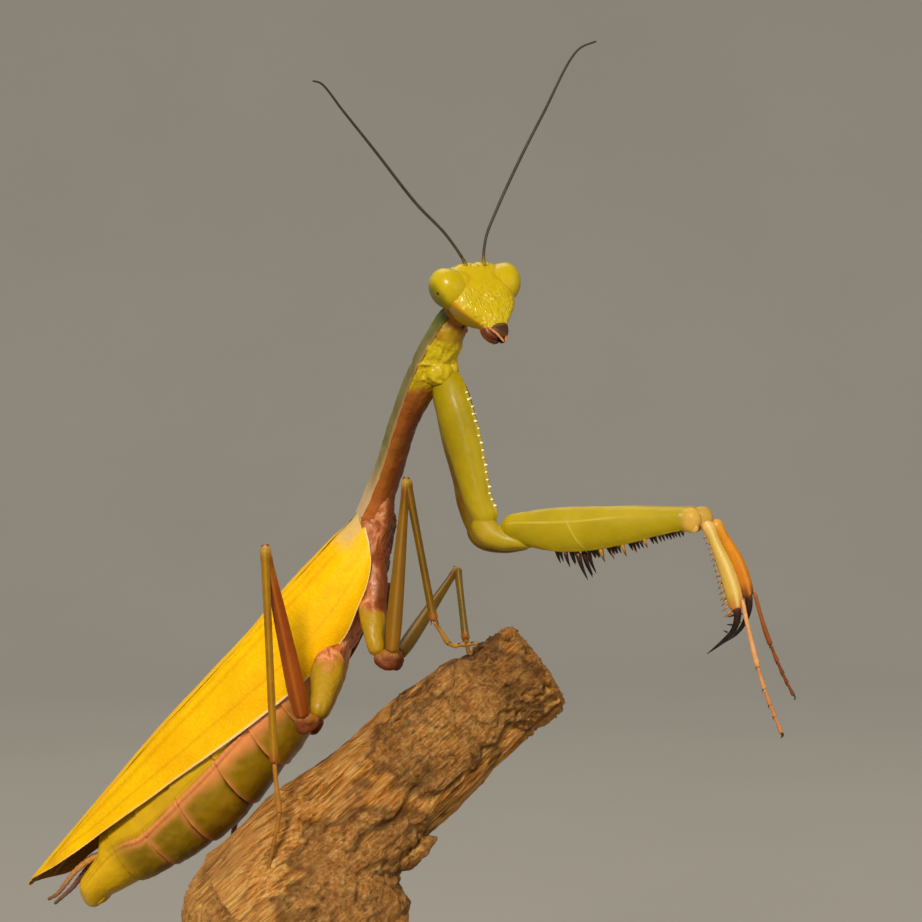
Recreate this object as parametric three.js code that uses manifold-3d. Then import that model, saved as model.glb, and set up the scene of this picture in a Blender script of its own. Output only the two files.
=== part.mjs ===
// A praying mantis, a large adult female, as a life-size museum model. It grips a short cut
// length of branch that a round base and one rod hold up. Millimetres, +Z up. The origin is
// the middle of the base's underside, +X is the way the mantis heads, and its right side
// faces -Y.
import * as THREE from 'three';
import { mergeVertices } from 'three/addons/utils/BufferGeometryUtils.js';
import Module from 'manifold-3d';

const wasm = await Module();
wasm.setup();

// ---------------------------------------------------------------- driving dimensions, mm
const GAP = 0.16; // clearance between two solids that meet at a joint
const SLIVER = 0.04; // edges shorter than this are merged after a cut
const BASE_RADIUS = 32;
const BASE_HEIGHT = 6;
const ROD_RADIUS = 3;
const PERCH_FOOT = 18; // height of the sawn foot of the branch
const WING_THICKNESS = 0.5;
const FEELER_RADIUS = 0.27;
const EYE_OFFSET = 3.3; // from the middle of the head to an eye's centre
const EYE_SIZE = [1.6, 2.05, 1.9]; // half width, half height, half depth
const PLATE_THICKNESS = 0.55; // pronotum
const TEGMEN_LENGTH = 56.2; // wing tip, measured along the trunk from its front
const ABDOMEN_ENDS = [10.6, 15, 19.6, 24.4, 30, 36.3, 42, 47, 52.4];

const V = (x, y, z) => new THREE.Vector3(x, y, z);

// ---------------------------------------------------------------- pose points, mm
const PROTHORAX = [
  V(7.8, 0, 69.0),
  V(9.6, -2.6, 74.1),
  V(11.1, -5, 78.8),
  V(12.4, -6.5, 81.8),
  V(15.2, -9.4, 87.0),
  V(16.7, -11.2, 90.1),
];
const HEAD_CENTRE = V(18.4, -13.5, 92.8);
const FEELERS = {
  right: [
    V(17.35, -14.6, 94.75),
    V(15.5, -15.5, 97.4),
    V(12.6, -17.2, 100.3),
    V(8.6, -20, 105.2),
    V(5.6, -22, 108.8),
    V(3.6, -23.3, 111.2),
    V(2.8, -23.8, 111.4),
  ],
  left: [
    V(19.25, -13.75, 94.95),
    V(19.5, -13.9, 97.3),
    V(20.4, -13.6, 99.7),
    V(22.6, -12.6, 104.6),
    V(25.2, -11.6, 109.8),
    V(28.8, -10.4, 116.5),
    V(30.7, -9.8, 117.5),
  ],
};
const FORELEG = {
  right: {
    coxa: [
      V(15.0, -9.0, 83.6),
      V(16.0, -9.8, 80.0),
      V(17.0, -10.4, 76.1),
      V(17.9, -10.8, 72.9),
      V(18.9, -11.2, 69.9),
    ],
    trochanter: [V(18.4, -11.0, 68.9), V(22.0, -12.0, 67.2)],
    femur: [
      V(21.3, -11.9, 67.9),
      V(24.4, -13, 68.1),
      V(29.8, -15.2, 68.3),
      V(34.9, -17.3, 68.8),
      V(38.2, -18.8, 69.2),
      V(41.0, -19.9, 69.2),
    ],
    tibia: [V(40.9, -19.9, 68.1), V(41.4, -20, 67.4), V(42.2, -20.3, 65.2), V(43.7, -20.8, 61.0)],
    claw: [V(43.6, -20.8, 61.8), V(43.9, -20.9, 59.3), V(42.8, -20.8, 57.6), V(40.9, -20.5, 56.3)],
    tarsus: [V(44.5, -21.7, 61.2), V(44.7, -21.7, 59.0), V(46.1, -22, 53.5), V(47.9, -22.2, 48.7)],
    across: V(0.39, 0.92, 0.05),
  },
  left: {
    coxa: [
      V(15.8, -5.0, 84.2),
      V(16.5, -5.2, 80.3),
      V(17.0, -5, 76.1),
      V(17.6, -4.9, 73.0),
      V(18.3, -4.6, 69.9),
    ],
    trochanter: [V(17.9, -4.5, 68.7), V(22.0, -4.4, 66.5)],
    femur: [
      V(21.3, -4.45, 67.2),
      V(24.6, -4.6, 67.7),
      V(30.3, -5, 68.0),
      V(35.7, -5.5, 68.6),
      V(40.0, -5.9, 69.1),
      V(42.9, -6.1, 69.2),
    ],
    tibia: [V(43.0, -6.2, 68.1), V(44.0, -6.3, 67.0), V(45.2, -6.5, 64.7), V(46.4, -6.7, 60.9)],
    claw: [V(46.4, -6.7, 61.6), V(46.3, -6.7, 58.9), V(45.3, -6.6, 57.4), V(43.7, -6.5, 56.2)],
    tarsus: [V(47.35, -7.2, 61), V(48.2, -7.2, 57.4), V(50.0, -7.3, 53.0), V(51.0, -7.4, 51.0)],
    across: V(0.07, 0.99, 0.02),
  },
};
// Walking legs: root of the coxa, trochanter, start of the thigh, knee, ankle, end of the
// first tarsal joint, toe.
const WALKING = {
  mid_right: [
    V(8.1, -3.0, 59.9),
    V(9.0, -4.0, 53.7),
    V(10.3, -5.2, 55.2),
    V(11.4, -6, 73.3),
    V(14.2, -5, 58.5),
    V(15.9, -4.2, 55.9),
    V(18.8, -3.6, 56.1),
  ],
  mid_left: [
    V(9.1, 2.9, 59.6),
    V(9.6, 4.4, 53.2),
    V(10.5, 6.0, 54.4),
    V(16.6, 18, 63.0),
    V(17.5, 8.2, 55.7),
    V(18.1, 6.9, 53.2),
    V(19.0, 6.7, 50.3),
  ],
  hind_right: [
    V(2.9, -4.9, 52.9),
    V(1.3, -5.4, 47.2),
    V(0.8, -7.0, 49.3),
    V(-2.6, -13.5, 66.6),
    V(-1.9, -9.8, 44.4),
    V(-1.4, -9.3, 39.0),
    V(-2.6, -8.7, 33.5),
  ],
  hind_left: [
    V(3.5, 5.4, 52.5),
    V(1.4, 6.2, 46.3),
    V(0.9, 8.5, 46.5),
    V(-5.3, 22.5, 54.6),
    V(-7.0, 10.2, 38.4),
    V(-7.7, 9.0, 34.8),
    V(-8.8, 8.8, 30.6),
  ],
};
const BRANCH = [
  V(-5.5, 0, 27.0),
  V(2.6, 0, 34.2),
  V(9.0, 0, 40.2),
  V(13.3, 0, 44.0),
  V(18.6, 0, 49.0),
  V(25.4, 0, 54.0),
];

// ---------------------------------------------------------------- materials
const paint = (colour, roughness) =>
  new THREE.MeshStandardMaterial({ color: colour, roughness, metalness: 0 });
const HEAD_SHELL = paint('#c8be22', 0.42);
const EYE = paint('#c9c63a', 0.3);
const MOUTH = paint('#6b4024', 0.5);
const FEELER = paint('#4a4136', 0.6);
const PLATE = paint('#8f9150', 0.5);
const BODY_SIDE = paint('#a85a24', 0.5);
const THORAX_SKIN = paint('#c9785a', 0.5);
const FORELEG_SHELL = paint('#b0a52c', 0.42);
const SPINE = paint('#c79c4c', 0.45);
const WALKING_LEG = paint('#9a7420', 0.45);
const TEGMEN = paint('#f2bb12', 0.4);
const HIND_WING = paint('#d9a63a', 0.4);
const ABDOMEN = paint('#a58a3c', 0.5);
const BARK = paint('#a8683a', 0.85);
const STAND = paint('#2b2a29', 0.45);

// ---------------------------------------------------------------- small helpers
const mix = (a, b, t) => a + (b - a) * t;
const clamp = (x) => Math.min(1, Math.max(0, x));
const smooth = (a, b, x) => {
  const t = clamp((x - a) / (b - a));
  return t * t * (3 - 2 * t);
};

// A smooth curve through [place, value] pairs.
function profile(pairs) {
  const slope = (i) => {
    const a = pairs[Math.max(0, i - 1)];
    const b = pairs[Math.min(pairs.length - 1, i + 1)];
    return (b[1] - a[1]) / (b[0] - a[0]);
  };
  return (x) => {
    if (x <= pairs[0][0]) return pairs[0][1];
    if (x >= pairs[pairs.length - 1][0]) return pairs[pairs.length - 1][1];
    const i = pairs.findIndex((pair) => pair[0] > x) - 1;
    const [x0, y0] = pairs[i];
    const [x1, y1] = pairs[i + 1];
    const h = x1 - x0;
    const t = (x - x0) / h;
    const bend = (1 + 2 * t) * (1 - t) ** 2 * y0 + t * t * (3 - 2 * t) * y1;
    return bend + h * (t * (1 - t) ** 2 * slope(i) - t * t * (1 - t) * slope(i + 1));
  };
}

function solid(geometry) {
  const bare = geometry.clone();
  bare.deleteAttribute('normal');
  bare.deleteAttribute('uv');
  const merged = mergeVertices(bare, 1e-5);
  return new wasm.Manifold(
    new wasm.Mesh({
      numProp: 3,
      vertProperties: Float32Array.from(merged.attributes.position.array),
      triVerts: Uint32Array.from(merged.index.array),
    }),
  );
}

// The largest body of a cut solid, as a geometry without slivers.
function geometryOf(manifold) {
  const clean = manifold.asOriginal().simplify(SLIVER);
  const bodies = clean.decompose().sort((a, b) => b.volume() - a.volume());
  const mesh = bodies[0].getMesh();
  const shape = new THREE.BufferGeometry();
  shape.setAttribute('position', new THREE.BufferAttribute(mesh.vertProperties, 3));
  shape.setIndex(new THREE.BufferAttribute(mesh.triVerts, 1));
  shape.computeVertexNormals();
  return shape;
}

const cut = (geometry, ...tools) =>
  geometryOf(tools.reduce((body, tool) => body.subtract(solid(tool)), solid(geometry)));
const join = (geometry, ...others) =>
  geometryOf(others.reduce((body, other) => body.add(solid(other)), solid(geometry)));

// A body swept along a curve. section(t, side, up) gives the skin's offset in the directions
// side and up, with side and up on the unit circle; grow thickens the body all round.
function sweep(spec, grow = 0) {
  const curve = new THREE.CatmullRomCurve3(spec.points, false, 'centripetal');
  const shape = new THREE.CylinderGeometry(1, 1, 1, spec.sides, spec.steps);
  const place = shape.attributes.position;
  const upward = V(0, 0, 0);
  const side = V(0, 0, 0);
  const centre = V(0, 0, 0);
  for (let i = 0; i < place.count; i += 1) {
    const x = place.getX(i);
    const z = place.getZ(i);
    const y = place.getY(i) + 0.5;
    const t = clamp(0.5 - 0.5 * Math.cos(Math.PI * y));
    const along = curve.getTangentAt(t);
    upward.copy(spec.up).addScaledVector(along, -spec.up.dot(along)).normalize();
    side.crossVectors(along, upward);
    centre.copy(curve.getPointAt(t));
    const around = Math.hypot(x, z);
    if (around > 0.5) {
      const [a, b] = spec.section(t, x, z);
      const long = Math.hypot(a, b);
      const out = (long + grow) / Math.max(long, 1e-6);
      centre.addScaledVector(side, a * out).addScaledVector(upward, b * out);
    }
    if (grow > 0 && (y < 1e-6 || y > 1 - 1e-6)) {
      centre.addScaledVector(along, y < 0.5 ? -grow : grow);
    }
    place.setXYZ(i, centre.x, centre.y, centre.z);
  }
  return shape;
}

// Rounds both ends of a limb over the given parts of its length.
const rounded = (t, head, tail) => {
  const a = t < head ? 1 - t / head : 0;
  const b = t > 1 - tail ? 1 - (1 - t) / tail : 0;
  return Math.max(0.3, Math.sqrt(Math.max(0, 1 - Math.max(a, b) ** 2)));
};

// An oval limb. width and depth are lists of [place, half size] pairs, across and along up.
function limb(points, up, width, depth, sides, steps, head = 0.06, tail = 0.06) {
  const across = profile(width);
  const deep = profile(depth);
  return {
    points,
    up,
    sides,
    steps,
    section: (t, x, z) => {
      const end = rounded(t, head, tail);
      return [x * across(t) * end, z * deep(t) * end];
    },
  };
}

const flat = (value) => [
  [0, value],
  [1, value],
];

// A sheet with thickness: at(u, v, w) places each corner of a box whose w runs outward.
function shell(nu, nv, at) {
  const shape = new THREE.BoxGeometry(1, 1, 1, nu, nv, 1);
  const place = shape.attributes.position;
  for (let i = 0; i < place.count; i += 1) {
    const p = at(place.getX(i) + 0.5, place.getY(i) + 0.5, place.getZ(i) + 0.5);
    place.setXYZ(i, p.x, p.y, p.z);
  }
  return shape;
}

function spine(root, tip, radius, sides = 4) {
  const shape = new THREE.ConeGeometry(radius, 1, sides, 1);
  const along = tip.clone().sub(root);
  const length = along.length();
  shape.translate(0, 0.5, 0);
  shape.scale(1, length, 1);
  shape.applyQuaternion(
    new THREE.Quaternion().setFromUnitVectors(V(0, 1, 0), along.divideScalar(length)),
  );
  shape.translate(root.x, root.y, root.z);
  return shape;
}

// ---------------------------------------------------------------- trunk: thorax and abdomen
// The trunk slopes down to the tail, away from +X, and its tail swings 18 degrees to +Y.
const YAW = THREE.MathUtils.degToRad(18);
const TRUNK_FRONT = V(9.4, 0, 66.0);
const HEADING = V(Math.cos(YAW), -Math.sin(YAW), 0);
const TO_TAIL = HEADING.clone().multiplyScalar(-0.6906).add(V(0, 0, -0.7232));
const TO_BACK = HEADING.clone().multiplyScalar(-0.7232).add(V(0, 0, 0.6906));
const TO_RIGHT = V(-Math.sin(YAW), -Math.cos(YAW), 0);

const trunkTop = profile([
  [-1, 2.4],
  [4, 2.8],
  [11, 2.95],
  [17, 2.65],
  [24, 2.75],
  [31, 2.9],
  [38, 2.75],
  [48, 2.45],
  [57, 2.0],
]);
const trunkMiddle = profile([
  [-1, 1.2],
  [4, -0.6],
  [10, -1.7],
  [20, -2.0],
  [30, -2.0],
  [38, -1.5],
  [44, -0.9],
  [48, -0.9],
  [52.4, -1.0],
  [57, 0.8],
]);
const trunkHalf = profile([
  [-1, 1.9],
  [3, 3.0],
  [8, 3.9],
  [14, 4.5],
  [22, 4.9],
  [30, 4.9],
  [36, 4.6],
  [42, 3.9],
  [47, 3.0],
  [50.5, 2.2],
  [52.4, 1.3],
  [57, 1.0],
]);
const trunkBottom = profile([
  [-1, 0.7],
  [1, -0.9],
  [4.5, -3.7],
  [8, -4.9],
  [12, -5.6],
  [16, -6.5],
  [22, -7.4],
  [25, -7.9],
  [28, -8.1],
  [31.5, -8.0],
  [37.7, -7.1],
  [43.2, -5.5],
  [47.6, -3.8],
  [49.7, -3.2],
  [52.4, -2.9],
]);

const onTrunk = (s, right, back) =>
  TRUNK_FRONT.clone()
    .addScaledVector(TO_TAIL, s)
    .addScaledVector(TO_RIGHT, right)
    .addScaledVector(TO_BACK, back);

// A point on the trunk's skin, lift mm outside it; angle 0 is the back, 90 the right side.
function trunkSkin(s, angle, lift) {
  const middle = trunkMiddle(s);
  const up = Math.cos(angle);
  const reach = up > 0 ? trunkTop(s) - middle : middle - trunkBottom(s);
  return onTrunk(s, (trunkHalf(s) + lift) * Math.sin(angle), middle + (reach + lift) * up);
}

// A slice of the trunk between two places, closed by two flat end faces that lean.
function trunkSlice(from, to, lean, sides, steps, taper, top = trunkTop) {
  const shape = new THREE.CylinderGeometry(1, 1, 1, sides, steps);
  const place = shape.attributes.position;
  for (let i = 0; i < place.count; i += 1) {
    const x = place.getX(i);
    const z = place.getZ(i);
    const t = 0.5 - place.getY(i);
    const s = mix(from, to, t);
    const angle = Math.atan2(x, z);
    const middle = trunkMiddle(s);
    const reach = z > 0 ? top(s) - middle : middle - trunkBottom(s);
    const size = Math.hypot(x, z) > 0.5 ? taper(t) : 0;
    const back = middle - 0.4 + (reach * Math.cos(angle) + 0.4) * size;
    const right = trunkHalf(s - lean * (back - middle)) * Math.sin(angle) * size;
    const p = onTrunk(s - lean * (back - middle), right, back);
    place.setXYZ(i, p.x, p.y, p.z);
  }
  return shape;
}

const thoraxShape = trunkSlice(-0.9, 10.4, 0.15, 16, 7, (t) => rounded(t, 0.14, 0));
const abdomenShapes = ABDOMEN_ENDS.slice(0, -1).map((start, i) => {
  const last = i === ABDOMEN_ENDS.length - 2;
  // Each ring swells a little past the next one's rim.
  const swell = (t) => 1 - 0.035 * smooth(0.75, 1, t) - 0.02 * smooth(0.3, 0, t);
  const close = (t) => rounded(t, 0, 0.22);
  const end = ABDOMEN_ENDS[i + 1] - GAP;
  if (last) return trunkSlice(start, end, 0.15, 16, 4, close, (s) => mix(0.75, 0.2, (s - start) / 5));
  return trunkSlice(start, end, 0.15, 16, 2, swell);
});

// ---------------------------------------------------------------- wings
const costalEdge = profile([
  [-0.6, 2.6],
  [0.4, 0.6],
  [1.6, -1.2],
  [3.7, -2.5],
  [6.4, -3.5],
  [9, -4.1],
  [13.1, -4.45],
  [16.2, -4.3],
  [20.4, -3.6],
  [24.4, -2.8],
  [32.5, -1.0],
  [38.7, 0.2],
  [43.9, 1.0],
  [49.6, 2.1],
  [53.6, 3.1],
  [56.4, 3.9],
]);

// The angle round the trunk at which a wing's skin meets the height back.
function angleAt(s, back, lift) {
  const middle = trunkMiddle(s);
  const reach = back > middle ? trunkTop(s) - middle : middle - trunkBottom(s);
  return Math.acos(THREE.MathUtils.clamp((back - middle) / (reach + lift), -0.999, 0.999));
}

// side is 1 for the right wing and -1 for the left, which lies over the right at the midline.
function tegmen(side) {
  const inner = profile([
    [-0.6, -0.14],
    [4, -0.4],
    [12, -0.5],
    [40, -0.5],
    [50, -0.38],
    [TEGMEN_LENGTH, 0.1],
  ]);
  return shell(15, 7, (u, v, w) => {
    const s = mix(-0.5, TEGMEN_LENGTH, 0.5 * u + 0.5 * (0.5 - 0.5 * Math.cos(Math.PI * u)));
    const rise = (angle) => {
      const under = mix(0.93, 0.26, smooth(0.95, 1.45, angle) * smooth(44, 34, s));
      const over = side < 0 ? 0.72 * (1 - smooth(0.5, 0.95, angle)) : 0;
      return under + over + WING_THICKNESS * w;
    };
    const outer = Math.max(inner(s) + 0.16, angleAt(s, costalEdge(s), 1.2));
    const angle = mix(inner(s), outer, side > 0 ? v : 1 - v);
    return trunkSkin(s, side * angle, rise(angle));
  });
}

// The folded hind wings lie between the tegmina and the body.
function hindWing(side) {
  return shell(11, 3, (u, v, w) => {
    const s = mix(2.5, 53.4, u);
    const high = mix(0.09, 0.12, u);
    const hidden = angleAt(s, costalEdge(s) + 1, 0.7);
    const low = Math.max(high + mix(0.3, 0.18, u), Math.min(0.85, hidden));
    const angle = mix(high, low, side > 0 ? v : 1 - v);
    return trunkSkin(s, side * angle, 0.2 + WING_THICKNESS * w);
  });
}

// ---------------------------------------------------------------- prothorax and pronotum
const PRO_BACK = V(-0.917, 0.062, 0.394);
const proDepth = profile([
  [0, 3.3],
  [0.12, 3.05],
  [0.3, 2.8],
  [0.5, 2.85],
  [0.62, 3.3],
  [0.76, 3.8],
  [0.9, 3.5],
  [1, 2.9],
]);
const plateHalf = profile([
  [0, 1.95],
  [0.12, 1.75],
  [0.35, 1.55],
  [0.52, 1.65],
  [0.64, 2.05],
  [0.73, 2.35],
  [0.84, 2.1],
  [0.94, 1.75],
  [1, 1.2],
]);
const proCurve = new THREE.CatmullRomCurve3(PROTHORAX, false, 'centripetal');

function prothorax(grow = 0) {
  return sweep(
    {
      points: PROTHORAX,
      up: PRO_BACK,
      sides: 12,
      steps: 9,
      section: (t, x, z) => {
        const end = rounded(t, 0.05, 0.08);
        const half = (plateHalf(t) - 0.42) * end;
        const top = (proDepth(t) / 2 - PLATE_THICKNESS - 0.35) * end;
        const low = (proDepth(t) / 2) * end;
        return [x * half, z * (z > 0 ? top : low)];
      },
    },
    grow,
  );
}

// The plate's outer skin at a place along and across it.
function plateSkin(t, across, sink) {
  const along = proCurve.getTangentAt(t);
  const upward = PRO_BACK.clone().addScaledVector(along, -PRO_BACK.dot(along)).normalize();
  const side = new THREE.Vector3().crossVectors(along, upward);
  const round = Math.abs(across);
  const half = plateHalf(t) - sink * smooth(0.3, 1, round);
  const roof = 1.25 * round ** 1.7 - 0.16 * (1 - smooth(0, 0.22, round));
  const height = proDepth(t) / 2 - roof - sink * (1 - 0.45 * round ** 2);
  return proCurve
    .getPointAt(t)
    .clone()
    .addScaledVector(side, -across * half)
    .addScaledVector(upward, height);
}

const pronotum = () =>
  shell(12, 8, (u, v, w) => plateSkin(mix(0.015, 0.985, u), 2 * v - 1, PLATE_THICKNESS * (1 - w)));

// ---------------------------------------------------------------- head
const FACING = V(0.4266, -0.8373, 0.342).normalize();
const levelLeft = V(0, 0, 1).cross(FACING).normalize();
const ROLL = THREE.MathUtils.degToRad(7.5);
const HEAD_UP = new THREE.Vector3()
  .crossVectors(FACING, levelLeft)
  .multiplyScalar(Math.cos(ROLL))
  .addScaledVector(levelLeft, -Math.sin(ROLL))
  .normalize();
const HEAD_LEFT = new THREE.Vector3().crossVectors(HEAD_UP, FACING).normalize();
const onHead = (left, up, front) =>
  HEAD_CENTRE.clone()
    .addScaledVector(HEAD_LEFT, left)
    .addScaledVector(HEAD_UP, up)
    .addScaledVector(FACING, front);

const headHalf = profile([
  [0, 1.15],
  [0.08, 1.65],
  [0.2, 2.5],
  [0.33, 3.2],
  [0.46, 3.55],
  [0.6, 3.55],
  [0.8, 3.35],
  [0.93, 2.8],
  [1, 2.1],
]);
const headFront = profile([
  [0, 0.55],
  [0.15, 0.85],
  [0.35, 1.25],
  [0.6, 1.55],
  [0.8, 1.65],
  [0.93, 1.4],
  [1, 0.8],
]);
const headRear = profile([
  [0, 0.7],
  [0.15, 1.4],
  [0.35, 2.1],
  [0.6, 2.2],
  [0.85, 1.9],
  [1, 1.1],
]);

function head(grow = 0) {
  return sweep(
    {
      points: [onHead(0, -5.6, 1.35), onHead(0, -3, 0.7), onHead(0, 0, 0), onHead(0, 1.9, -0.3)],
      up: FACING,
      sides: 16,
      steps: 9,
      section: (t, x, z) => {
        const end = rounded(t, 0.05, 0.1);
        const square = 1 / Math.max(Math.abs(x), Math.abs(z)) ** 0.35;
        const reach = z > 0 ? headFront(t) : headRear(t);
        return [x * headHalf(t) * end * square ** 0.5, z * reach * end * square];
      },
    },
    grow,
  );
}

function eye(side, grow = 0) {
  const shape = new THREE.SphereGeometry(1, 12, 8);
  const [wide, tall, deep] = EYE_SIZE;
  const place = shape.attributes.position;
  for (let i = 0; i < place.count; i += 1) {
    const x = place.getX(i) * (wide + grow);
    const y = place.getY(i) * (tall + grow);
    const z = place.getZ(i) * (deep + grow);
    const p = onHead(side * EYE_OFFSET + x + 0.1 * side * y, y - 0.3, z - 0.1);
    place.setXYZ(i, p.x, p.y, p.z);
  }
  return shape;
}

const labrum = (grow = 0) =>
  sweep(
    limb(
      [onHead(0, -5.4, 1.3), onHead(0, -6.4, 1.75), onHead(0, -7.35, 2.1)],
      FACING,
      [
        [0, 1.1],
        [0.5, 1.05],
        [1, 0.6],
      ],
      [
        [0, 0.7],
        [0.5, 0.8],
        [1, 0.5],
      ],
      10,
      5,
      0.2,
      0.3,
    ),
    grow,
  );
const palp = (side) =>
  sweep(
    limb(
      [onHead(side * 0.6, -5.7, 0.8), onHead(side * 0.85, -6.5, 1.0), onHead(side * 0.6, -7.2, 1.4)],
      FACING,
      flat(0.3),
      flat(0.3),
      6,
      4,
    ),
  );

// ---------------------------------------------------------------- limbs
const feeler = (points) =>
  limb(
    points,
    V(0, 1, 0),
    [
      [0, 0.42],
      [0.03, 0.4],
      [0.07, FEELER_RADIUS],
      [1, FEELER_RADIUS],
    ],
    [
      [0, 0.42],
      [0.03, 0.4],
      [0.07, FEELER_RADIUS],
      [1, FEELER_RADIUS],
    ],
    6,
    14,
    0.005,
    0.005,
  );

function foreleg(spec) {
  const coxa = limb(
    spec.coxa,
    spec.across,
    [
      [0, 1.35],
      [0.2, 1.8],
      [0.55, 1.75],
      [0.85, 1.55],
      [1, 1.3],
    ],
    [
      [0, 1.1],
      [0.3, 1.4],
      [0.7, 1.25],
      [1, 1.05],
    ],
    10,
    8,
    0.08,
    0.08,
  );
  const trochanter = limb(
    spec.trochanter,
    spec.across,
    [
      [0, 1.35],
      [0.5, 1.5],
      [1, 1.15],
    ],
    [
      [0, 1.0],
      [0.5, 1.05],
      [1, 0.8],
    ],
    9,
    4,
    0.3,
    0.2,
  );
  const femur = limb(
    spec.femur,
    spec.across,
    [
      [0, 0.95],
      [0.12, 1.55],
      [0.3, 2.15],
      [0.45, 2.2],
      [0.62, 1.95],
      [0.8, 1.45],
      [0.93, 1.12],
      [1, 1.05],
    ],
    [
      [0, 0.7],
      [0.2, 1.1],
      [0.5, 1.2],
      [0.8, 0.9],
      [1, 0.75],
    ],
    10,
    10,
    0.05,
    0.05,
  );
  const tibia = limb(
    spec.tibia,
    spec.across,
    [
      [0, 0.6],
      [0.2, 0.85],
      [0.6, 0.8],
      [1, 0.75],
    ],
    flat(0.6),
    8,
    5,
    0.1,
    0.1,
  );
  const claw = limb(
    spec.claw,
    spec.across,
    [
      [0, 0.7],
      [0.4, 0.5],
      [1, 0.26],
    ],
    [
      [0, 0.5],
      [0.4, 0.4],
      [1, 0.26],
    ],
    7,
    7,
    0.1,
    0.1,
  );
  const tarsus = limb(spec.tarsus, spec.across, flat(0.3), flat(0.28), 6, 7, 0.03, 0.03);
  return { coxa, trochanter, femur, tibia, claw, tarsus };
}

// Where along the femur each spine stands, its length, and how far it leans off the plane.
const FEMUR_SPINES = [
  [0.33, 1.5, -0.3],
  [0.375, 1.8, 0.2],
  [0.425, 3.2, -0.25],
  [0.46, 2.5, 0.2],
  [0.5, 1.2, -0.2],
  [0.545, 1.6, 0.2],
  [0.6, 1.1, -0.2],
  [0.65, 1.4, 0.2],
  [0.71, 1.1, -0.2],
  [0.77, 1.2, 0.2],
  [0.86, 1.3, -0.15],
];

function spinesOn(spec, rows, width, reach) {
  const curve = new THREE.CatmullRomCurve3(spec.points, false, 'centripetal');
  return rows.map(([t, length, lean]) => {
    const along = curve.getTangentAt(t);
    const across = spec.up.clone().addScaledVector(along, -spec.up.dot(along)).normalize();
    const inward = new THREE.Vector3().crossVectors(along, across);
    const below = inward.dot(V(-0.2, 0, -1)) > 0 ? inward : inward.negate();
    const root = curve.getPointAt(t).addScaledVector(below, width(t) - 0.5);
    root.addScaledVector(across, lean * 1.4);
    const tip = root
      .clone()
      .addScaledVector(below, (length + 0.5) * reach)
      .addScaledVector(along, 0.35 * length * reach)
      .addScaledVector(across, lean);
    return spine(root, tip, 0.3);
  });
}

function walkingLeg(name, points) {
  const [root, hip, thigh, knee, ankle, mid, toe] = points;
  const hind = name.startsWith('hind');
  const swing = name.endsWith('right') ? 1 : -1;
  const thick = hind ? 1 : 0.86;
  const dir = (a, b) => b.clone().sub(a).normalize();
  const shin = dir(knee, ankle);
  const up = V(1, 0, 0.1 * swing);
  return {
    coxa: limb(
      [root, root.clone().lerp(hip, 0.5), hip.clone().addScaledVector(dir(root, hip), -1.0)],
      V(0, 1, 0),
      [
        [0, hind ? 1.5 : 1.05],
        [0.5, hind ? 1.45 : 1.15],
        [1, hind ? 0.95 : 0.9],
      ],
      [
        [0, hind ? 1.15 : 0.95],
        [1, 0.85],
      ],
      9,
      5,
      0.15,
      0.15,
    ),
    trochanter: limb(
      [hip.clone().addScaledVector(dir(hip, thigh), -0.55), thigh],
      V(0.7, 0.1, -0.7),
      [
        [0, 0.85],
        [0.4, 1.0],
        [1, 0.85],
      ],
      [
        [0, 0.85],
        [0.4, 1.0],
        [1, 0.85],
      ],
      8,
      4,
      0.35,
      0.25,
    ),
    femur: limb(
      [thigh, thigh.clone().lerp(knee, 0.5), knee],
      up,
      [
        [0, 0.72 * thick],
        [0.15, 0.95 * thick],
        [0.55, 0.72 * thick],
        [0.9, 0.48 * thick],
        [1, 0.55 * thick],
      ],
      [
        [0, 0.72 * thick],
        [0.15, 0.95 * thick],
        [0.55, 0.72 * thick],
        [0.9, 0.48 * thick],
        [1, 0.55 * thick],
      ],
      8,
      6,
      0.03,
      0.03,
    ),
    tibia: limb(
      [knee.clone().addScaledVector(shin, 0.35), knee.clone().lerp(ankle, 0.5), ankle],
      up,
      [
        [0, 0.5],
        [0.1, 0.42],
        [0.9, 0.4],
        [1, 0.45],
      ],
      [
        [0, 0.5],
        [0.1, 0.42],
        [0.9, 0.4],
        [1, 0.45],
      ],
      7,
      7,
      0.03,
      0.03,
    ),
    tarsus: limb(
      [ankle.clone().lerp(mid, 0.12), mid, toe],
      up,
      flat(0.3),
      flat(0.28),
      6,
      6,
      0.05,
      0.05,
    ),
  };
}

// ---------------------------------------------------------------- perch and stand
function perch() {
  const limbHalf = profile([
    [0, 9.3],
    [0.2, 7.9],
    [0.4, 6.9],
    [0.6, 6.2],
    [0.8, 5.7],
    [0.95, 5.2],
    [1, 4.9],
  ]);
  const rough = (t, angle) =>
    1 +
    0.035 * Math.sin(3 * angle + 7 * t) +
    0.025 * Math.sin(5 * angle - 11 * t + 1) +
    0.03 * Math.sin(17 * t + 2 * angle);
  const branch = sweep({
    points: BRANCH,
    up: V(0, 1, 0),
    sides: 17,
    steps: 11,
    section: (t, x, z) => {
      const r = limbHalf(t) * rough(t, Math.atan2(x, z)) * Math.max(0.72, rounded(t, 0, 0.05));
      return [x * r, z * r * mix(1.12, 0.98, t)];
    },
  });
  const trunk = sweep({
    points: [V(0.4, 0, PERCH_FOOT), V(0.2, 0, 24), V(-1.6, 0, 32.4)],
    up: V(0, 1, 0),
    sides: 17,
    steps: 5,
    section: (t, x, z) => {
      const r = rough(0.3 * t, Math.atan2(x, z));
      const half = profile([
        [0, 12.6],
        [0.5, 11.9],
        [0.8, 10.4],
        [1, 8.2],
      ])(t);
      return [x * r * half, z * r * Math.min(half, 10.6)];
    },
  });
  return join(branch, trunk);
}

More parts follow.
